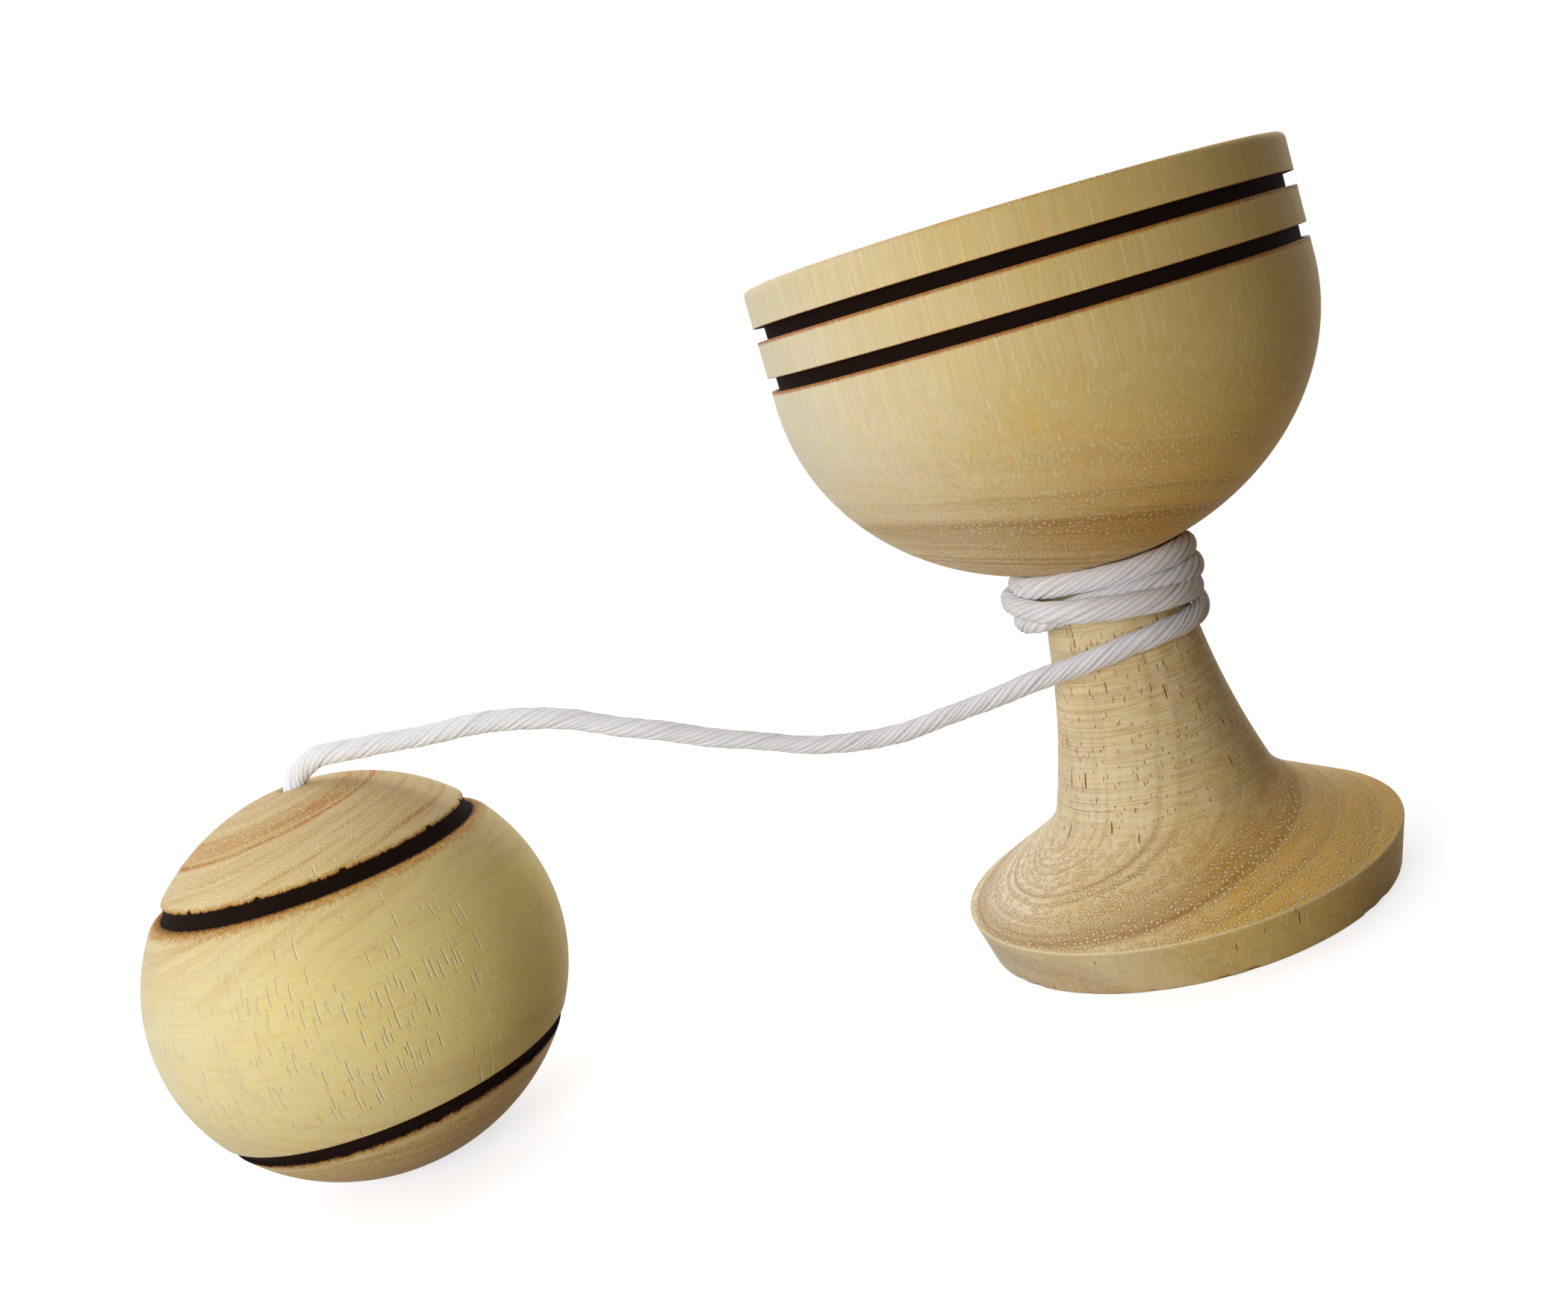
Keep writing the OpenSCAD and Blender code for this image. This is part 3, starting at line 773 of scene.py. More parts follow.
def vessels(tree, local, ring, outer, inner_step, outer_step):
    """Tubes along Z: cells of a plane that sways with height. Gives pale sheaths, dark rims, open pores."""
    slow = add_node(tree, "ShaderNodeVectorMath", {0: local, 1: (0.08, 0.08, 0.06)}, operation="MULTIPLY")
    sway = add_node(tree, "ShaderNodeTexNoise", {"Vector": slow, "Scale": 1.0, "Detail": 1.0}, give="Color")
    swayed = add_node(tree, "ShaderNodeVectorMath", {
        0: sway, 1: (sway_mm, sway_mm, 0.0), 2: local}, operation="MULTIPLY_ADD")
    jag = add_node(tree, "ShaderNodeTexNoise", {"Vector": local, "Scale": 2.2, "Detail": 1.0}, give="Color")
    uneven = add_node(tree, "ShaderNodeVectorMath", {
        0: jag, 1: (jag_mm, jag_mm, 0.0), 2: swayed}, operation="MULTIPLY_ADD")
    per_mm = add_node(tree, "ShaderNodeMapRange", {
        0: outer, 1: 0.0, 2: 1.0, 3: 1 / inner_step, 4: 1 / outer_step})
    cells = add_node(tree, "ShaderNodeVectorMath", {0: uneven, "Scale": per_mm}, operation="SCALE")
    off = add_node(tree, "ShaderNodeTexVoronoi", {"Vector": cells, "Scale": 1.0}, voronoi_dimensions="2D")
    luck = add_node(tree, "ShaderNodeSeparateColor", {0: off.node.outputs["Color"]}, give="Red")
    crowd = add_node(tree, "ShaderNodeMapRange", {0: ring, 1: 0.1, 2: 0.8, 3: 0.5, 4: 1.0})
    other_luck = luck.node.outputs["Green"]
    there = add_node(tree, "ShaderNodeMath", {0: other_luck, 1: crowd}, operation="LESS_THAN")
    width = add_node(tree, "ShaderNodeMapRange", {0: luck, 1: 0.0, 2: 1.0, 3: slim_vessel, 4: wide_vessel})
    edge = add_node(tree, "ShaderNodeMath", {0: off, 1: width}, operation="DIVIDE")
    inside = add_node(tree, "ShaderNodeMapRange", {0: edge, 1: 0.6, 2: 1.0, 3: 1.0, 4: 0.0})
    outside = add_node(tree, "ShaderNodeMapRange", {0: edge, 1: 1.0, 2: 1.8, 3: 1.0, 4: 0.0})
    hole = add_node(tree, "ShaderNodeMapRange", {0: edge, 1: 0.26, 2: 0.44, 3: 1.0, 4: 0.0})
    rim = add_node(tree, "ShaderNodeMath", {0: outside, 1: inside}, operation="SUBTRACT")
    return [add_node(tree, "ShaderNodeMath", {0: part, 1: there}, operation="MULTIPLY")
            for part in (inside, rim, hole)]


print(f"vessels: radius {slim_vessel} to {wide_vessel} of their spacing, swaying by {sway_mm} mm")

# %% [markdown]
# Where the tool tore the grain, some of the tubes lie open: thin dashes up and down the surface, dark where
# dust sits in them and pale where the wood is raw, with a lit edge. How many there are follows an attribute
# of the piece, and they come in patches.

# %% Wood: torn grain
tube_step = 3.0


def from_axis(tree, local):
    """The level part of a place, and its length: the distance from the piece's axis."""
    level = add_node(tree, "ShaderNodeVectorMath", {0: local, 1: level_part}, operation="MULTIPLY")
    return level, add_node(tree, "ShaderNodeVectorMath", {0: level}, give="Value", operation="LENGTH")


def torn_grain(tree, local, cell, aside, share):
    """Dashes in cells of a given size in millimetres; share says how many of the cells have one. The place
    is first moved in to the next of a set of tubes, so the dashes follow a swelling surface."""
    level, axis_r = from_axis(tree, local)
    tube_r = add_node(tree, "ShaderNodeMath", {0: axis_r, 1: tube_step}, operation="SNAP")
    way = add_node(tree, "ShaderNodeVectorMath", {0: level}, operation="NORMALIZE")
    moved_in = add_node(tree, "ShaderNodeVectorMath", {0: way, "Scale": tube_r}, operation="SCALE")
    upright = add_node(tree, "ShaderNodeVectorMath", {0: local, 1: upright_part}, operation="MULTIPLY")
    on_tube = add_node(tree, "ShaderNodeVectorMath", {0: moved_in, 1: upright}, operation="ADD")
    moved = add_node(tree, "ShaderNodeVectorMath", {0: on_tube, 1: aside}, operation="ADD")
    per_mm = tuple(1 / c for c in cell)
    cells = add_node(tree, "ShaderNodeVectorMath", {0: moved, 1: per_mm}, operation="MULTIPLY")
    off = add_node(tree, "ShaderNodeTexVoronoi", {"Vector": cells, "Scale": 1.0})
    luck = add_node(tree, "ShaderNodeSeparateColor", {0: off.node.outputs["Color"]}, give="Red")
    other_luck = luck.node.outputs["Blue"]
    there = add_node(tree, "ShaderNodeMath", {0: luck, 1: share}, operation="LESS_THAN")
    width = add_node(tree, "ShaderNodeMapRange", {0: other_luck, 1: 0.0, 2: 1.0, 3: 0.18, 4: 0.42})
    edge = add_node(tree, "ShaderNodeMath", {0: off, 1: width}, operation="DIVIDE")
    dash = add_node(tree, "ShaderNodeMapRange", {0: edge, 1: 0.65, 2: 1.0, 3: 1.0, 4: 0.0})
    return add_node(tree, "ShaderNodeMath", {0: dash, 1: there}, operation="MULTIPLY")


print(f"dashes lie on tubes {tube_step:.0f} mm apart")

# %% [markdown]
# Two finer patterns make it look turned and not printed: fibres, which are streaks along the grain a third
# of a millimetre wide and almost a centimetre long, and the lines that the tool left round the axis, a
# fifth of a millimetre apart and each only a part of a circle long.

# %% Wood: fibres and turning lines
fibres_per_mm = (3.2, 3.2, 0.11)
lines_per_mm = 4.5


def wood_fibres(tree, local):
    """Noise stretched along Z, the grain."""
    thin = add_node(tree, "ShaderNodeVectorMath", {0: local, 1: fibres_per_mm}, operation="MULTIPLY")
    return add_node(tree, "ShaderNodeTexNoise", {
        "Vector": thin, "Scale": 1.0, "Detail": 4.0, "Roughness": 0.65})


def turning_lines(tree, local):
    """Noise over radius and height that changes slowly round the axis."""
    level, axis_r = from_axis(tree, local)
    height = add_node(tree, "ShaderNodeSeparateXYZ", {0: local}, give="Z")
    slow = add_node(tree, "ShaderNodeVectorMath", {0: level, 1: (0.05, 0.04, 0.0)}, give="Value",
                    operation="DOT_PRODUCT")
    circle = add_node(tree, "ShaderNodeCombineXYZ", {0: axis_r, 1: height, 2: slow})
    return add_node(tree, "ShaderNodeTexNoise", {
        "Vector": circle, "Scale": lines_per_mm, "Detail": 2.0, "Roughness": 0.6})


print(f"fibres {1 / fibres_per_mm[0]:.1f} mm wide, turning lines {1 / lines_per_mm:.1f} mm apart")

# %% [markdown]
# The grooves were burnt, so the wood turns golden, then brown, then black towards them. A ragged border
# follows the fibres. It comes from noise that is added to the outline's own scorch.

# %% Wood: burnt grooves
brown_char, black_char = "#4a2812", "#1b100b"


def burnt(tree, local, clean, toast, ragged_by):
    """Colour after the burn, the share of its last level, black, and its noise: scorch plus noise, cut at
    three levels. Each level has a colour, the scorch at which it starts and is full, and its most."""
    scorch = add_node(tree, "ShaderNodeAttribute", {}, give="Fac", attribute_name="scorch")
    ragged = add_node(tree, "ShaderNodeVectorMath", {0: local, 1: (3.2, 3.2, 1.1)}, operation="MULTIPLY")
    fray = add_node(tree, "ShaderNodeTexNoise", {
        "Vector": ragged, "Scale": 1.0, "Detail": 4.0, "Roughness": 0.7})
    shift = add_node(tree, "ShaderNodeMapRange", {0: fray, 1: 0.25, 2: 0.75, 3: -ragged_by, 4: ragged_by})
    singe = add_node(tree, "ShaderNodeMath", {0: scorch, 1: shift}, operation="ADD")
    levels = ((toast, 0.18, 0.46, 0.92), (brown_char, 0.5, 0.66, 1.0), (black_char, 0.62, 0.78, 1.0))
    colour = clean
    for shade, start, full, most in levels:
        share = add_node(tree, "ShaderNodeMapRange", {0: singe, 1: start, 2: full, 3: 0.0, 4: most})
        colour = add_node(tree, "ShaderNodeMixRGB", {
            "Fac": share, "Color1": colour, "Color2": linear(shade)})
    return colour, share, fray


print("burnt wood goes from golden through", brown_char, "to", black_char)

# %% [markdown]
# The ground colour isn't even: from the lit side of the piece to its shaded side it goes from cream to a
# warmer yellow, which is painted light and shade, moved about by broad clouds and streaks. Where the grain
# is cut across it is browner, because its open tubes swallow light. Growth rings show mostly there, so they
# are held back on the walls. Wood that was left as the tool cut it shows some of both.

# %% Wood: ground colour
# Painted light and shade: along this way, towards the shaded side, the ground turns from cream to warmer
# yellow.
shaded_side_way = (0.8, -0.6, 0.0)
cloud_mm, streak_mm = 26.0, 18.0
cream_to, yellow_from = 8.0, 42.0


def ground_colour(tree, local, cut, rough_cut, dark, line, look):
    """Cream on the lit side to yellow on the shaded side, painted light and shade along a level line, moved
    by clouds and streaks; then tan by how far the grain is cut, darker by the rings, and pale on their
    closing lines."""
    aside = add_node(tree, "ShaderNodeVectorMath", {0: local, 1: shaded_side_way}, give="Value",
                     operation="DOT_PRODUCT")
    clouds = add_node(tree, "ShaderNodeTexNoise", {"Vector": local, "Scale": 0.07, "Detail": 3.0})
    cloudy = add_node(tree, "ShaderNodeMath", {0: clouds, 1: cloud_mm, 2: aside}, operation="MULTIPLY_ADD")
    broad = add_node(tree, "ShaderNodeVectorMath", {0: local, 1: (0.8, 0.8, 0.02)}, operation="MULTIPLY")
    streaks = add_node(tree, "ShaderNodeTexNoise", {"Vector": broad, "Scale": 1.0, "Detail": 2.0})
    streaky = add_node(tree, "ShaderNodeMath", {0: streaks, 1: streak_mm, 2: cloudy},
                       operation="MULTIPLY_ADD")
    # Painted light and shade: 0 gives the pale colour of the lit side, 1 the warmer yellow of the shaded
    # side.
    lit_to_shaded = add_node(tree, "ShaderNodeMapRange", {
        0: streaky, 1: cream_to, 2: yellow_from, 3: 0.0, 4: 1.0})
    side = add_node(tree, "ShaderNodeMixRGB", {
        "Fac": lit_to_shaded, "Color1": linear(look["pale"]), "Color2": linear(look["shaded_side"])})
    end = add_node(tree, "ShaderNodeMixRGB", {
        "Fac": lit_to_shaded, "Color1": linear(look["cut_lit_side"]), "Color2": linear(look["cut_shaded_side"])})
    share = add_node(tree, "ShaderNodeMapRange", {0: cut, 1: 0.25, 2: 0.9, 3: 0.0, 4: 1.0})
    tanned = add_node(tree, "ShaderNodeMath", {0: rough_cut, 1: look["tool_tan"], 2: share},
                      operation="MULTIPLY_ADD", use_clamp=True)
    ground = add_node(tree, "ShaderNodeMixRGB", {"Fac": tanned, "Color1": side, "Color2": end})
    across = add_node(tree, "ShaderNodeMapRange", {0: cut, 1: 0.2, 2: 0.8, 3: 0.12, 4: 1.0})
    shown = add_node(tree, "ShaderNodeMath", {0: rough_cut, 1: look["ring_show"], 2: across},
                     operation="MULTIPLY_ADD", use_clamp=True)
    dark_power = add_node(tree, "ShaderNodeMath", {0: dark, 1: shown}, operation="MULTIPLY")
    ground = add_node(tree, "ShaderNodeMixRGB", {
        "Fac": dark_power, "Color1": ground, "Color2": linear(look["late"])})
    line_power = add_node(tree, "ShaderNodeMath", {0: line, 1: shown}, operation="MULTIPLY")
    pale_line = add_node(tree, "ShaderNodeMath", {0: line_power, 1: look["line_share"]},
                         operation="MULTIPLY")
    return add_node(tree, "ShaderNodeMixRGB", {
        "Fac": pale_line, "Color1": ground, "Color2": linear(look["vessel"])})


print(f"cream turns to yellow over {yellow_from - cream_to:.0f} mm")

# %% [markdown]
# The patterns are now laid over the ground. First a pale painted highlight goes along marked edges, fibres
# lighten and darken it, and turning lines are drawn on it, strongest where the wood was left as the tool
# cut it.

# %% Wood: painted edge highlight and tool marks
def worked_ground(tree, local, ground, rough_cut, look):
    """The ground mixed with a painted highlight on marked edges, fibres and turning lines; the lines, and
    how strong they are.
    """
    # A pale painted highlight along marked edges.
    highlighted = add_node(tree, "ShaderNodeAttribute", {}, give="Fac", attribute_name="highlighted")
    ground = add_node(tree, "ShaderNodeMixRGB", {
        "Fac": highlighted, "Color1": ground, "Color2": linear(look["vessel"])})
    fibres = wood_fibres(tree, local)
    lines = turning_lines(tree, local)
    fibre_off = add_node(tree, "ShaderNodeMapRange", {0: fibres, 1: 0.3, 2: 0.7, 3: -1.0, 4: 1.0})
    fibre_power = add_node(tree, "ShaderNodeMapRange", {
        0: rough_cut, 1: 0.0, 2: 0.6, 3: look["fibre_power"], 4: 0.3 * look["fibre_power"]})
    fibre_light = add_node(tree, "ShaderNodeMath", {0: fibre_off, 1: fibre_power, 2: 1.0},
                           operation="MULTIPLY_ADD")
    ground = add_node(tree, "ShaderNodeHueSaturation", {"Value": fibre_light, "Color": ground})
    line_power = add_node(tree, "ShaderNodeMath", {0: rough_cut, 1: look["line_power"], 2: 0.05},
                          operation="MULTIPLY_ADD")
    for shade, far in (("rim", 0.28), ("vessel", 0.72)):
        mark = add_node(tree, "ShaderNodeMapRange", {0: lines, 1: 0.5, 2: far, 3: 0.0, 4: 0.9})
        mark = add_node(tree, "ShaderNodeMath", {0: mark, 1: line_power}, operation="MULTIPLY")
        ground = add_node(tree, "ShaderNodeMixRGB", {
            "Fac": mark, "Color1": ground, "Color2": linear(look[shade])})
    return ground, lines, line_power


print("ready: worn edges, fibres and turning lines")

# %% [markdown]
# Then the open grain: vessels are pale spots with dark rims and open pores, and torn grain is dashes, in
# patches, on the steep sides. Sheaths stand up a little, and pores and dashes are dents.

# %% Wood: open grain
tear_apart = (17.3, 5.1, 9.7)


def opened_ground(tree, local, ground, cut, rough_cut, radius, ring, look):
    """The ground mixed with vessels and torn grain, each by its own share, and the height they give it."""
    outer = add_node(tree, "ShaderNodeMath", {0: radius, 1: look["outer_from"]}, operation="GREATER_THAN")
    sheath, rim, pore = vessels(tree, local, ring, outer, *look["vessel_step"])
    cut_power = add_node(tree, "ShaderNodeMapRange", {0: cut, 1: 0.3, 2: 0.95, 3: 0.3, 4: 1.0})
    age_power = add_node(tree, "ShaderNodeMapRange", {
        0: outer, 1: 0.0, 2: 1.0, 3: look["spot_power"][0], 4: look["spot_power"][1]})
    spot_power = add_node(tree, "ShaderNodeMath", {0: cut_power, 1: age_power}, operation="MULTIPLY")
    open_share = add_node(tree, "ShaderNodeMapRange", {
        0: rough_cut, 1: 0.08, 2: 0.5, 3: 0.0, 4: look["pore_power"]})
    pale_spot = add_node(tree, "ShaderNodeMath", {0: sheath, 1: spot_power}, operation="MULTIPLY")
    rim_power = add_node(tree, "ShaderNodeMapRange", {0: cut, 1: 0.5, 2: 0.95, 3: 0.05, 4: 0.9})
    dark_rim = add_node(tree, "ShaderNodeMath", {0: rim, 1: rim_power}, operation="MULTIPLY")
    open_pore = add_node(tree, "ShaderNodeMath", {0: pore, 1: open_share}, operation="MULTIPLY")
    for share, shade in ((dark_rim, "rim"), (pale_spot, "vessel"), (open_pore, "tear_dark")):
        ground = add_node(tree, "ShaderNodeMixRGB", {
            "Fac": share, "Color1": ground, "Color2": linear(look[shade])})

    patch = add_node(tree, "ShaderNodeTexNoise", {"Vector": local, "Scale": 0.16, "Detail": 1.0})
    in_patch = add_node(tree, "ShaderNodeMapRange", {0: patch, 1: 0.35, 2: 0.65, 3: 0.2, 4: 1.4})
    steep = add_node(tree, "ShaderNodeMapRange", {0: cut, 1: 0.4, 2: 0.75, 3: 1.0, 4: 0.0})
    rough_here = add_node(tree, "ShaderNodeMath", {0: rough_cut, 1: steep}, operation="MULTIPLY")
    torn = add_node(tree, "ShaderNodeMath", {0: rough_here, 1: in_patch}, operation="MULTIPLY")
    dents = add_node(tree, "ShaderNodeMath", {0: pale_spot, 1: 0.3}, operation="MULTIPLY")
    dents = add_node(tree, "ShaderNodeMath", {0: open_pore, 1: -0.8, 2: dents}, operation="MULTIPLY_ADD")
    for shade, share, aside in (("tear_dark", "dark_share", (0.0, 0.0, 0.0)),
                                ("tear_pale", "pale_share", tear_apart)):
        some = add_node(tree, "ShaderNodeMath", {0: torn, 1: look[share]}, operation="MULTIPLY")
        dash = torn_grain(tree, local, look["tear_cell"], aside, some)
        ground = add_node(tree, "ShaderNodeMixRGB", {
            "Fac": dash, "Color1": ground, "Color2": linear(look[shade])})
        dents = add_node(tree, "ShaderNodeMath", {0: dash, 1: -1.1, 2: dents}, operation="MULTIPLY_ADD")
    return ground, dents


print("ready: vessels and torn grain")

# %% [markdown]
# Put together, with the burn on top. The surface has the soft shine of sanded wood. It is duller where the
# grain is cut across, and matt where it is burnt.

# %% Wood: the finish
wood_relief = 0.12 * MM
wall_rough, end_rough, burnt_rough = 0.48, 0.62, 0.4


def turned_wood(name, middle, look):
    """The patterns above, laid over each other in the order of the text, with the piece's own colours."""
    finish, tree, surface = new_finish(name)
    local = wood_place(tree, middle)
    cut = add_node(tree, "ShaderNodeAttribute", {}, give="Fac", attribute_name="end_grain")
    rough_cut = add_node(tree, "ShaderNodeAttribute", {}, give="Fac", attribute_name="tool_cut")
    radius = ring_radius(tree, local, look["heart"], look["lean"], look["stray"])
    ring, dark, line = growth_rings(
        tree, local, radius, look["years"], look["bands"], *look["ring_power"])
    ground = ground_colour(tree, local, cut, rough_cut, dark, line, look)
    ground, lines, line_power = worked_ground(tree, local, ground, rough_cut, look)
    ground, dents = opened_ground(tree, local, ground, cut, rough_cut, radius, ring, look)
    colour, black, fray = burnt(tree, local, ground, look["toast"], look["ragged"])
    relief = add_node(tree, "ShaderNodeMath", {0: lines, 1: line_power, 2: dents}, operation="MULTIPLY_ADD")
    relief = add_node(tree, "ShaderNodeMath", {0: fray, 1: black, 2: relief}, operation="MULTIPLY_ADD")
    bump = add_node(tree, "ShaderNodeBump", {"Height": relief, "Strength": 0.8, "Distance": wood_relief})
    satin = add_node(tree, "ShaderNodeMapRange", {0: cut, 1: 0.0, 2: 1.0, 3: wall_rough, 4: end_rough})
    dull = add_node(tree, "ShaderNodeMath", {0: black, 1: burnt_rough, 2: satin}, operation="MULTIPLY_ADD")
    shine = add_node(tree, "ShaderNodeBsdfPrincipled", {
        "Base Color": colour, "Roughness": dull, "Specular IOR Level": 0.08, "IOR": 1.5, "Normal": bump})
    tree.links.new(shine, surface)
    print("finish:", finish.name)
    return finish


# %% [markdown]
# The goblet's wood has its own heart, rings, bands and colours. The heart lies to the left of the axis and
# towards the viewer, so the rings on the foot's top close round a point there.

# %% The goblet's wood
goblet_wood = turned_wood("turned_goblet_hardwood", (0.0, 0.0, 0.0), {
    "heart": (-13.0, -5.5), "lean": (0.4, 0.12), "stray": 1.2,
    "years": (0.0, 3.0, 4.3, 5.6, 6.9, 8.2, 9.6, 11.3, 13.0,
              16.25, 20.4, 23.0, 26.2, 29.5, 33.0, 37.0, 42.0),
    "bands": [(19.6, 1.6, 0.55), (18.4, 3.4, 0.4), (29.3, 2.5, 0.25), (11.0, 0.5, 0.45), (12.4, 0.4, 0.3)],
    "ring_power": (0.05, 0.3, 0.22), "ring_show": 0.5, "tool_tan": 0.5, "line_share": 0.3,
    "pale": "#ddd5ba", "shaded_side": "#ddc27d", "cut_lit_side": "#f0e4c8", "cut_shaded_side": "#dfb55f",
    "late": "#8f6129", "rim": "#a87535", "vessel": "#f2e2b8",
    "outer_from": 20.4, "vessel_step": (0.62, 0.56), "spot_power": (0.75, 0.75), "pore_power": 0.8,
    "toast": "#a5652a", "ragged": 0.1,
    "tear_dark": "#92561f", "tear_pale": "#f0deb2", "tear_cell": (0.3, 0.3, 2.8),
    "dark_share": 0.2, "pale_share": 0.14, "line_power": 0.75, "fibre_power": 0.09})

# %% [markdown]
# Now the goblet's mesh and the attributes that its finish reads. The stem was left as the tool cut it, and
# the bowl was smoothed. A few small chips are missing from the foot's lower edge and are painted dark, and
# its upper edge has a pale painted highlight.

# %% The goblet
chip_reach, chip_share, highlight_reach = 0.4, 0.006, 0.2


def ragged_waves(angle, counts):
    """Waves round the axis, added up: sin(n angle + k) for the k-th of the counts n."""
    return sum(np.sin(n * angle + k) for k, n in enumerate(counts))


goblet_grid, goblet_angle = lathe(goblet_outline, 288)
goblet_r, goblet_z = goblet_outline[:, :1], goblet_outline[:, 1:2]
near_edge = np.exp(-((goblet_r - foot_base_r) ** 2 + goblet_z**2) / chip_reach**2)
chips = near_edge * np.clip(ragged_waves(goblet_angle, (7, 17, 41)) - 0.8, 0, 1)
goblet_grid[..., :2] *= 1 - chip_share * chips[..., None]
cut_heights = (0, 5.4, 6.5, 11, 16, 32.5, 34, 43, 82)
cut_rough = (0.16, 0.16, 0.1, 0.25, 0.6, 0.75, 0.6, 0.0, 0.0)
on_wall = (goblet_z > bowl_mid) & (goblet_z < goblet_h - 0.4) & (goblet_r > cup_r + 1)
on_foot = (goblet_z > 0.1) & (goblet_z < foot_edge_h - 0.1) & (goblet_r > foot_base_r - 1)
goblet_cut = np.where(on_wall, 0.0, across_grain(goblet_outline)[:, None])
goblet_cut = np.where(on_foot, 0.45, goblet_cut)
from_foot_edge = np.hypot(goblet_r - foot_r, goblet_z - foot_edge_h)
goblet_marks = {
    # The chips are painted dark too, through the scorch attribute.
    "scorch": goblet_outline[:, 2:3] + 0.8 * chips,
    "end_grain": goblet_cut + 0 * goblet_angle,
    "tool_cut": np.interp(goblet_z, cut_heights, cut_rough) + 0 * goblet_angle,
    # Painted highlight: the foot's upper edge is painted pale, where it catches the light.
    "highlighted": 0.7 * np.exp(-from_foot_edge**2 / highlight_reach**2) + 0 * goblet_angle,
}
goblet = net_mesh("goblet_turned", [(goblet_grid, goblet_marks)], goblet_wood)
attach(goblet, "goblet")
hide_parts("goblet")

# %% [markdown]
# The ball is a sphere with two burnt grooves, a bore down its axis and a wider recess below for the knot.
# Its outline closes on itself: up the bore, over the mouth, down the round and back in through the recess.
# The upper groove is undercut, with a rounded edge above it and a wide golden ledge below.

# %% The ball's outline
ball_r = 22.5
seat = ball_at[2]
bore_r, recess_r, recess_top = 1.75, 4.5, 8.0 - seat

# Heights above the ball's middle between which it is plain and round.
mouth_h, over_upper_h, under_upper_h = 22.2, 15.9, 12.2
over_lower_h, under_lower_h, base_h = -10.8, -13.9, -21.9


def on_ball(height, scorch, ease, points):
    """A corner on the ball's round at a height above its middle: r = sqrt(R^2 - h^2)."""
    return np.sqrt(ball_r**2 - height**2), height, scorch, ease, points


def round_of_ball(top, bottom, count):
    """The ball's outline between two heights, at even angles."""
    angle = np.linspace(np.arcsin(top / ball_r), np.arcsin(bottom / ball_r), count)
    return np.stack([ball_r * np.cos(angle), ball_r * np.sin(angle), 0 * angle], axis=1)


ball_outline = without_doubles(np.concatenate([
    cornered([(bore_r, recess_top + 0.2, 0, 0, 12), (bore_r, 22.43, 0.1, 0.12, 4),
              on_ball(mouth_h, 0, 0, 1)]),
    round_of_ball(mouth_h, over_upper_h, 36),
    cornered([on_ball(over_upper_h, 0, 0, 5), on_ball(15.3, 0.45, 0.28, 5), (16.35, 14.95, 0.9, 0.08, 8),
              (16.7, 13.62, 1, 0.12, 5), (17.15, 13.55, 0.6, 0, 5), (17.85, 13.48, 0.44, 0.3, 5),
              on_ball(13.0, 0.3, 0, 5), on_ball(under_upper_h, 0, 0, 1)]),
    round_of_ball(under_upper_h, over_lower_h, 64),
    cornered([on_ball(over_lower_h, 0, 0, 4), on_ball(-11.05, 0.45, 0.1, 5), (18.36, -11.1, 1, 0.1, 7),
              (18.36, -12.4, 1, 0.12, 4), on_ball(-12.6, 0.8, 0.15, 4), on_ball(-13.1, 0.45, 0, 5),
              on_ball(under_lower_h, 0, 0, 1)]),
    round_of_ball(under_lower_h, base_h, 30),
    cornered([on_ball(base_h, 0, 0, 3), (recess_r, -seat, 0, 0.12, 8), (recess_r, recess_top, 0, 0.2, 6),
              (bore_r, recess_top, 0, 0.1, 3), (bore_r, recess_top + 0.2, 0, 0, 1)]),
])[:-1])
print(f"ball outline: {len(ball_outline)} points")

# %% [markdown]
# The ball's wood is a little paler round its middle, and greener there on its shaded side, which is painted
# shade. Its grain tore there, in patches, and was never sanded off: short pale dashes with a shadow on one
# side. The heart lies close to its axis.

# %% The ball's wood
ball_wood = turned_wood("turned_ball_hardwood", tuple(ball_at), {
    "heart": (-2.5, -0.5), "lean": (0.0, 0.0), "stray": 1.6,
    "years": (0.0, 2.5, 4.5, 6.2, 7.8, 9.2, 10.9, 13.3, 15.4, 17.4, 20.0, 23.0, 28.0),
    "bands": [(10.9, 0.5, 0.8), (9.2, 2.6, 0.45), (17.3, 0.35, 0.4)],
    "ring_power": (0.0, 0.12, 0.55), "ring_show": 0.0, "tool_tan": 0.0, "line_share": 0.08,
    "pale": "#dad3b8", "shaded_side": "#ebda91", "cut_lit_side": "#d8c69c", "cut_shaded_side": "#dcc28e",
    "late": "#b4742a", "rim": "#c09a5c", "vessel": "#efe5c2",
    "outer_from": 11.0, "vessel_step": (0.48, 0.42), "spot_power": (0.55, 0.7), "pore_power": 0.25,
    "toast": "#b58238", "ragged": 0.22,
    "tear_dark": "#a98a50", "tear_pale": "#ebe0b4", "tear_cell": (0.36, 0.36, 3.4),
    "dark_share": 0.0, "pale_share": 1.5, "line_power": 0.28, "fibre_power": 0.05})

# %% [markdown]
# The ball's net is a ring, because its outline closes on itself. The grooves' lips have a few small nicks,
# and below the lower groove the wood is a little browner.

# %% The ball
# Height of each nicked lip above the ball's middle, and the nicks' half width.
lips = ((15.3, 0.25), (-12.7, 0.3))
nick_share = 0.01
ball_grid, ball_angle = lathe(ball_outline, 300)
ball_z = ball_outline[:, 1:2]
near_lip = sum(np.exp(-((ball_z - height) / half_w) ** 2) for height, half_w in lips)
nicks = near_lip * np.clip(ragged_waves(ball_angle, (11, 37, 59)) - 1.3, 0, 1)
ball_grid[..., :2] *= 1 - nick_share * nicks[..., None]
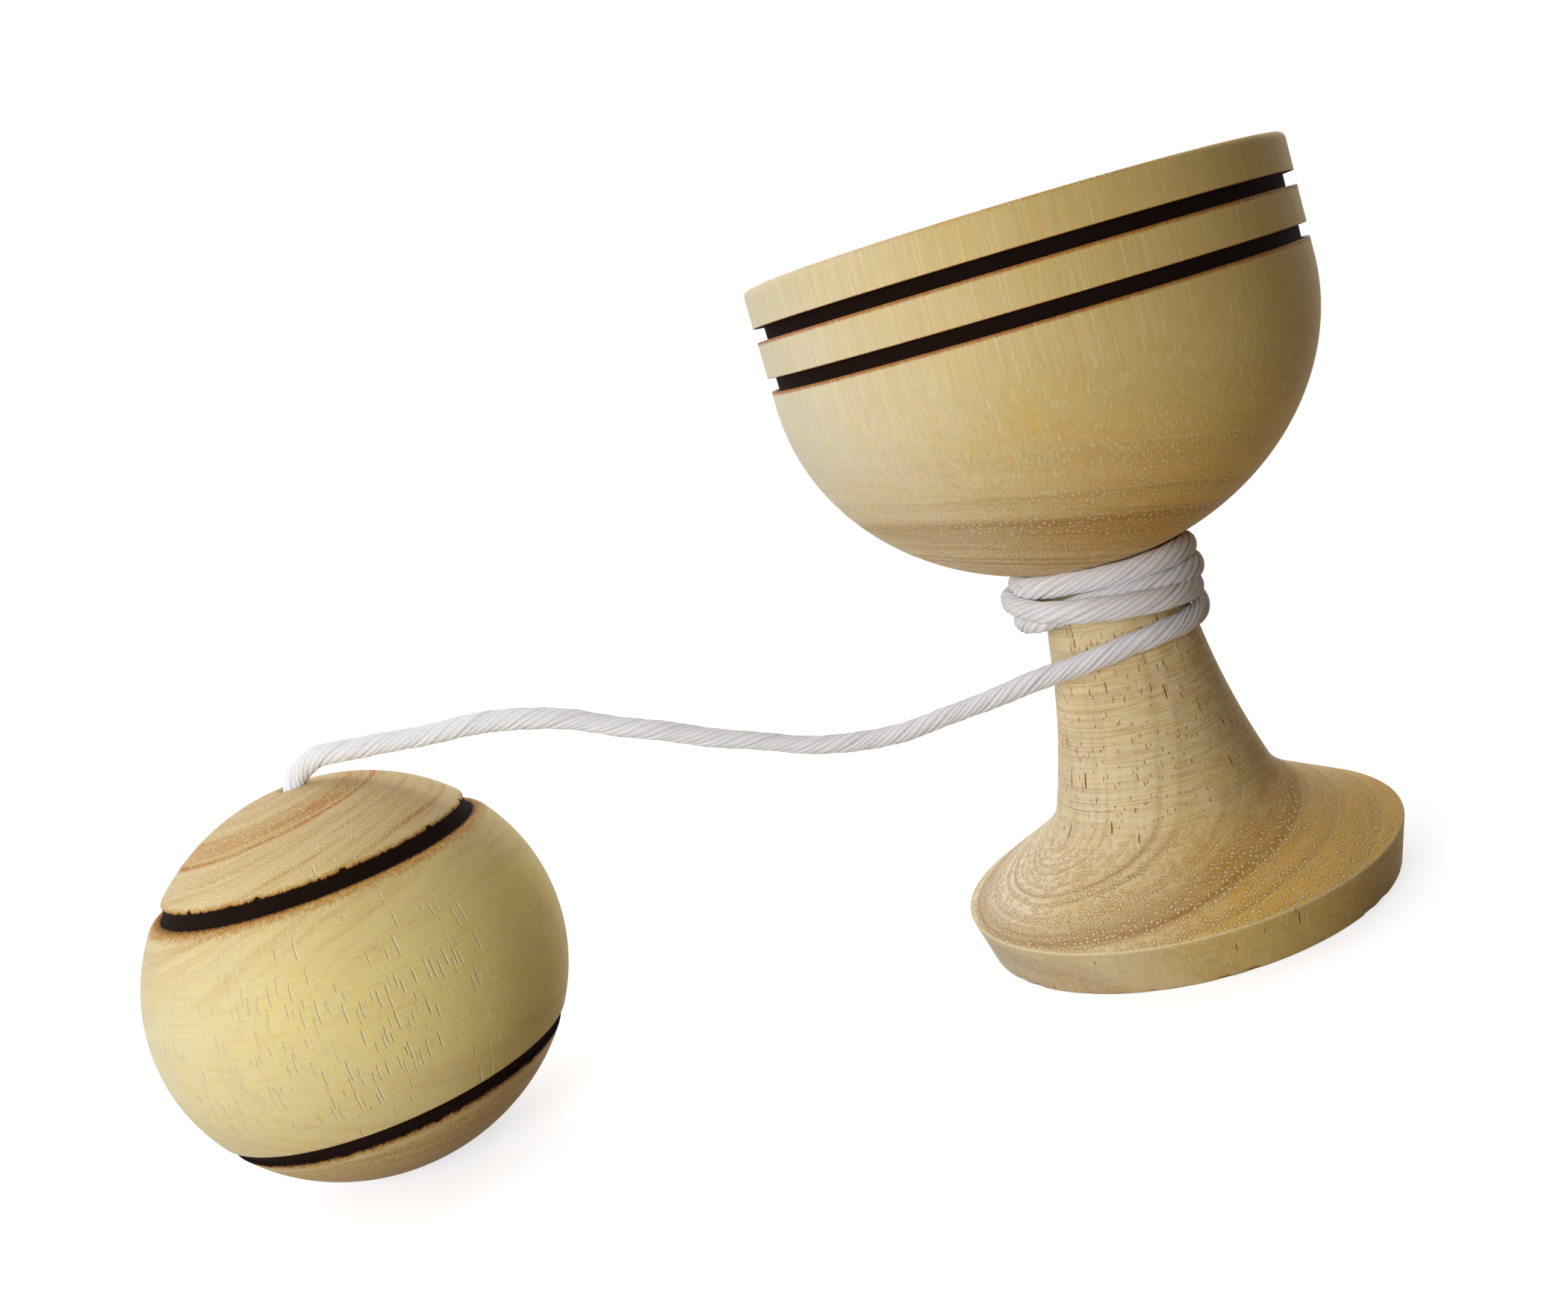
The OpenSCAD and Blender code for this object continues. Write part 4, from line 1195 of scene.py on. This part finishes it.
# The lower cap is made browner through the scorch attribute, a little more towards the groove.
browner_below = np.interp(ball_z, (-22, -18, -14, -13.8), (0.2, 0.23, 0.26, 0))
ball_cut_heights = (-22, -11, -7, 6, 12, 22)
ball_cut_rough = (0.1, 0.1, 0.5, 0.6, 0.15, 0.1)
ball_marks = {
    "scorch": ball_outline[:, 2:3] + browner_below + 0.4 * nicks,
    "end_grain": across_grain(ball_outline)[:, None] + 0 * ball_angle,
    "tool_cut": np.interp(ball_z, ball_cut_heights, ball_cut_rough) + 0 * ball_angle,
    "highlighted": np.zeros(nicks.shape),
}
ball = net_mesh("ball_turned", [(ball_grid + ball_at, ball_marks)], ball_wood, ring=True)
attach(ball, "ball")
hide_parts("ball")

# %% [markdown]
# Light: a large soft lamp high at the left, as a window would be, a second one high behind, a small one low
# in front at the left, and a weak surround. The window is a touch colder than the lamp behind. The surround
# is plain white where the camera, a reflection or a refraction looks straight at it.

# %% Light
toy_middle = (-0.03, 0.0, 0.04)


def soft_lamp(name, at, size, watts, colour):
    """A square lamp that faces the middle of the toy."""
    data = bpy.data.lights.new(name, "AREA")
    data.size = size
    data.energy = watts
    data.color = linear(colour)[:3]
    lamp = bpy.data.objects.new(name, data)
    back = unit(np.array(at) - toy_middle)
    side = unit(np.cross((0, 0, 1), back))
    set_up(lamp, side, np.cross(back, side), back, at)


def looked_at(tree):
    """1 for a ray from the camera, from a glossy surface or through glass, else 0."""
    seen = add_node(tree, "ShaderNodeLightPath", {}, give="Is Camera Ray")
    rays = seen.node.outputs
    mirrored = add_node(tree, "ShaderNodeMath", {0: seen, 1: rays["Is Glossy Ray"]}, operation="MAXIMUM")
    through = rays["Is Transmission Ray"]
    return add_node(tree, "ShaderNodeMath", {0: mirrored, 1: through}, operation="MAXIMUM")


soft_lamp("window_light", (-1.3, -0.15, 1.0), 1.5, 12.8, "#f8faff")
soft_lamp("front_light", (-0.12, -0.24, 0.09), 0.12, 0.4, "#ffffff")
soft_lamp("back_light", (0.08, 0.66, 0.72), 1.3, 9.2, "#fffdf9")
world = bpy.data.worlds.new("white_room")
bpy.context.scene.world = world
world.use_nodes = True
room = world.node_tree
room.nodes.clear()
ambient = add_node(room, "ShaderNodeBackground", {"Color": linear("#ffd9a8"), "Strength": 0.03})
backdrop = add_node(room, "ShaderNodeBackground", {"Color": linear("#ffffff"), "Strength": 1.0})
both = add_node(room, "ShaderNodeMixShader", {0: looked_at(room), 1: ambient, 2: backdrop})
room.links.new(both, room.nodes.new("ShaderNodeOutputWorld").inputs["Surface"])
bpy.context.scene.view_settings.view_transform = "Standard"
print("lit by three lamps and a white room")

# %% [markdown]
# The floor is a sheet of white paper. It sends a little light back up under the toy. To the camera it glows
# so far that only the toy's soft shadow stays on it, and it turns plain white further out, so there is no
# horizon.

# %% Floor
floor_half = 3.0
shadow_middle, shadow_r, plain_r = (-0.04, 0.0, 0.0), 0.12, 0.35
floor_mesh = bpy.data.meshes.new("paper_floor")
floor_mesh.from_pydata([
    (-floor_half, -floor_half, 0), (floor_half, -floor_half, 0),
    (floor_half, floor_half, 0), (-floor_half, floor_half, 0)], [], [(0, 1, 2, 3)])
floor = bpy.data.objects.new("paper_floor", floor_mesh)
bpy.context.scene.collection.objects.link(floor)

paper, tree, surface = new_finish("white_paper")
place = add_node(tree, "ShaderNodeTexCoord", {}, give="Object")
off = add_node(tree, "ShaderNodeVectorMath", {0: place, 1: shadow_middle}, operation="SUBTRACT")
far = add_node(tree, "ShaderNodeVectorMath", {0: off}, give="Value", operation="LENGTH")
fade = add_node(tree, "ShaderNodeMapRange", {0: far, 1: shadow_r, 2: plain_r, 3: 0.0, 4: 1.0},
                interpolation_type="SMOOTHSTEP")
matt = add_node(tree, "ShaderNodeBsdfDiffuse", {"Color": linear("#c0c0c0")})
glow = add_node(tree, "ShaderNodeEmission", {"Color": linear("#ffffff"), "Strength": 0.72})
near_toy = add_node(tree, "ShaderNodeAddShader", {0: matt, 1: glow})
plain = add_node(tree, "ShaderNodeEmission", {"Color": linear("#ffffff"), "Strength": 1.0})
white = add_node(tree, "ShaderNodeMixShader", {0: fade, 1: near_toy, 2: plain})
bounce = add_node(tree, "ShaderNodeBsdfDiffuse", {"Color": linear("#95866f")})
tree.links.new(add_node(tree, "ShaderNodeMixShader", {0: looked_at(tree), 1: bounce, 2: white}), surface)
floor_mesh.materials.append(paper)
print("floor:", paper.name)
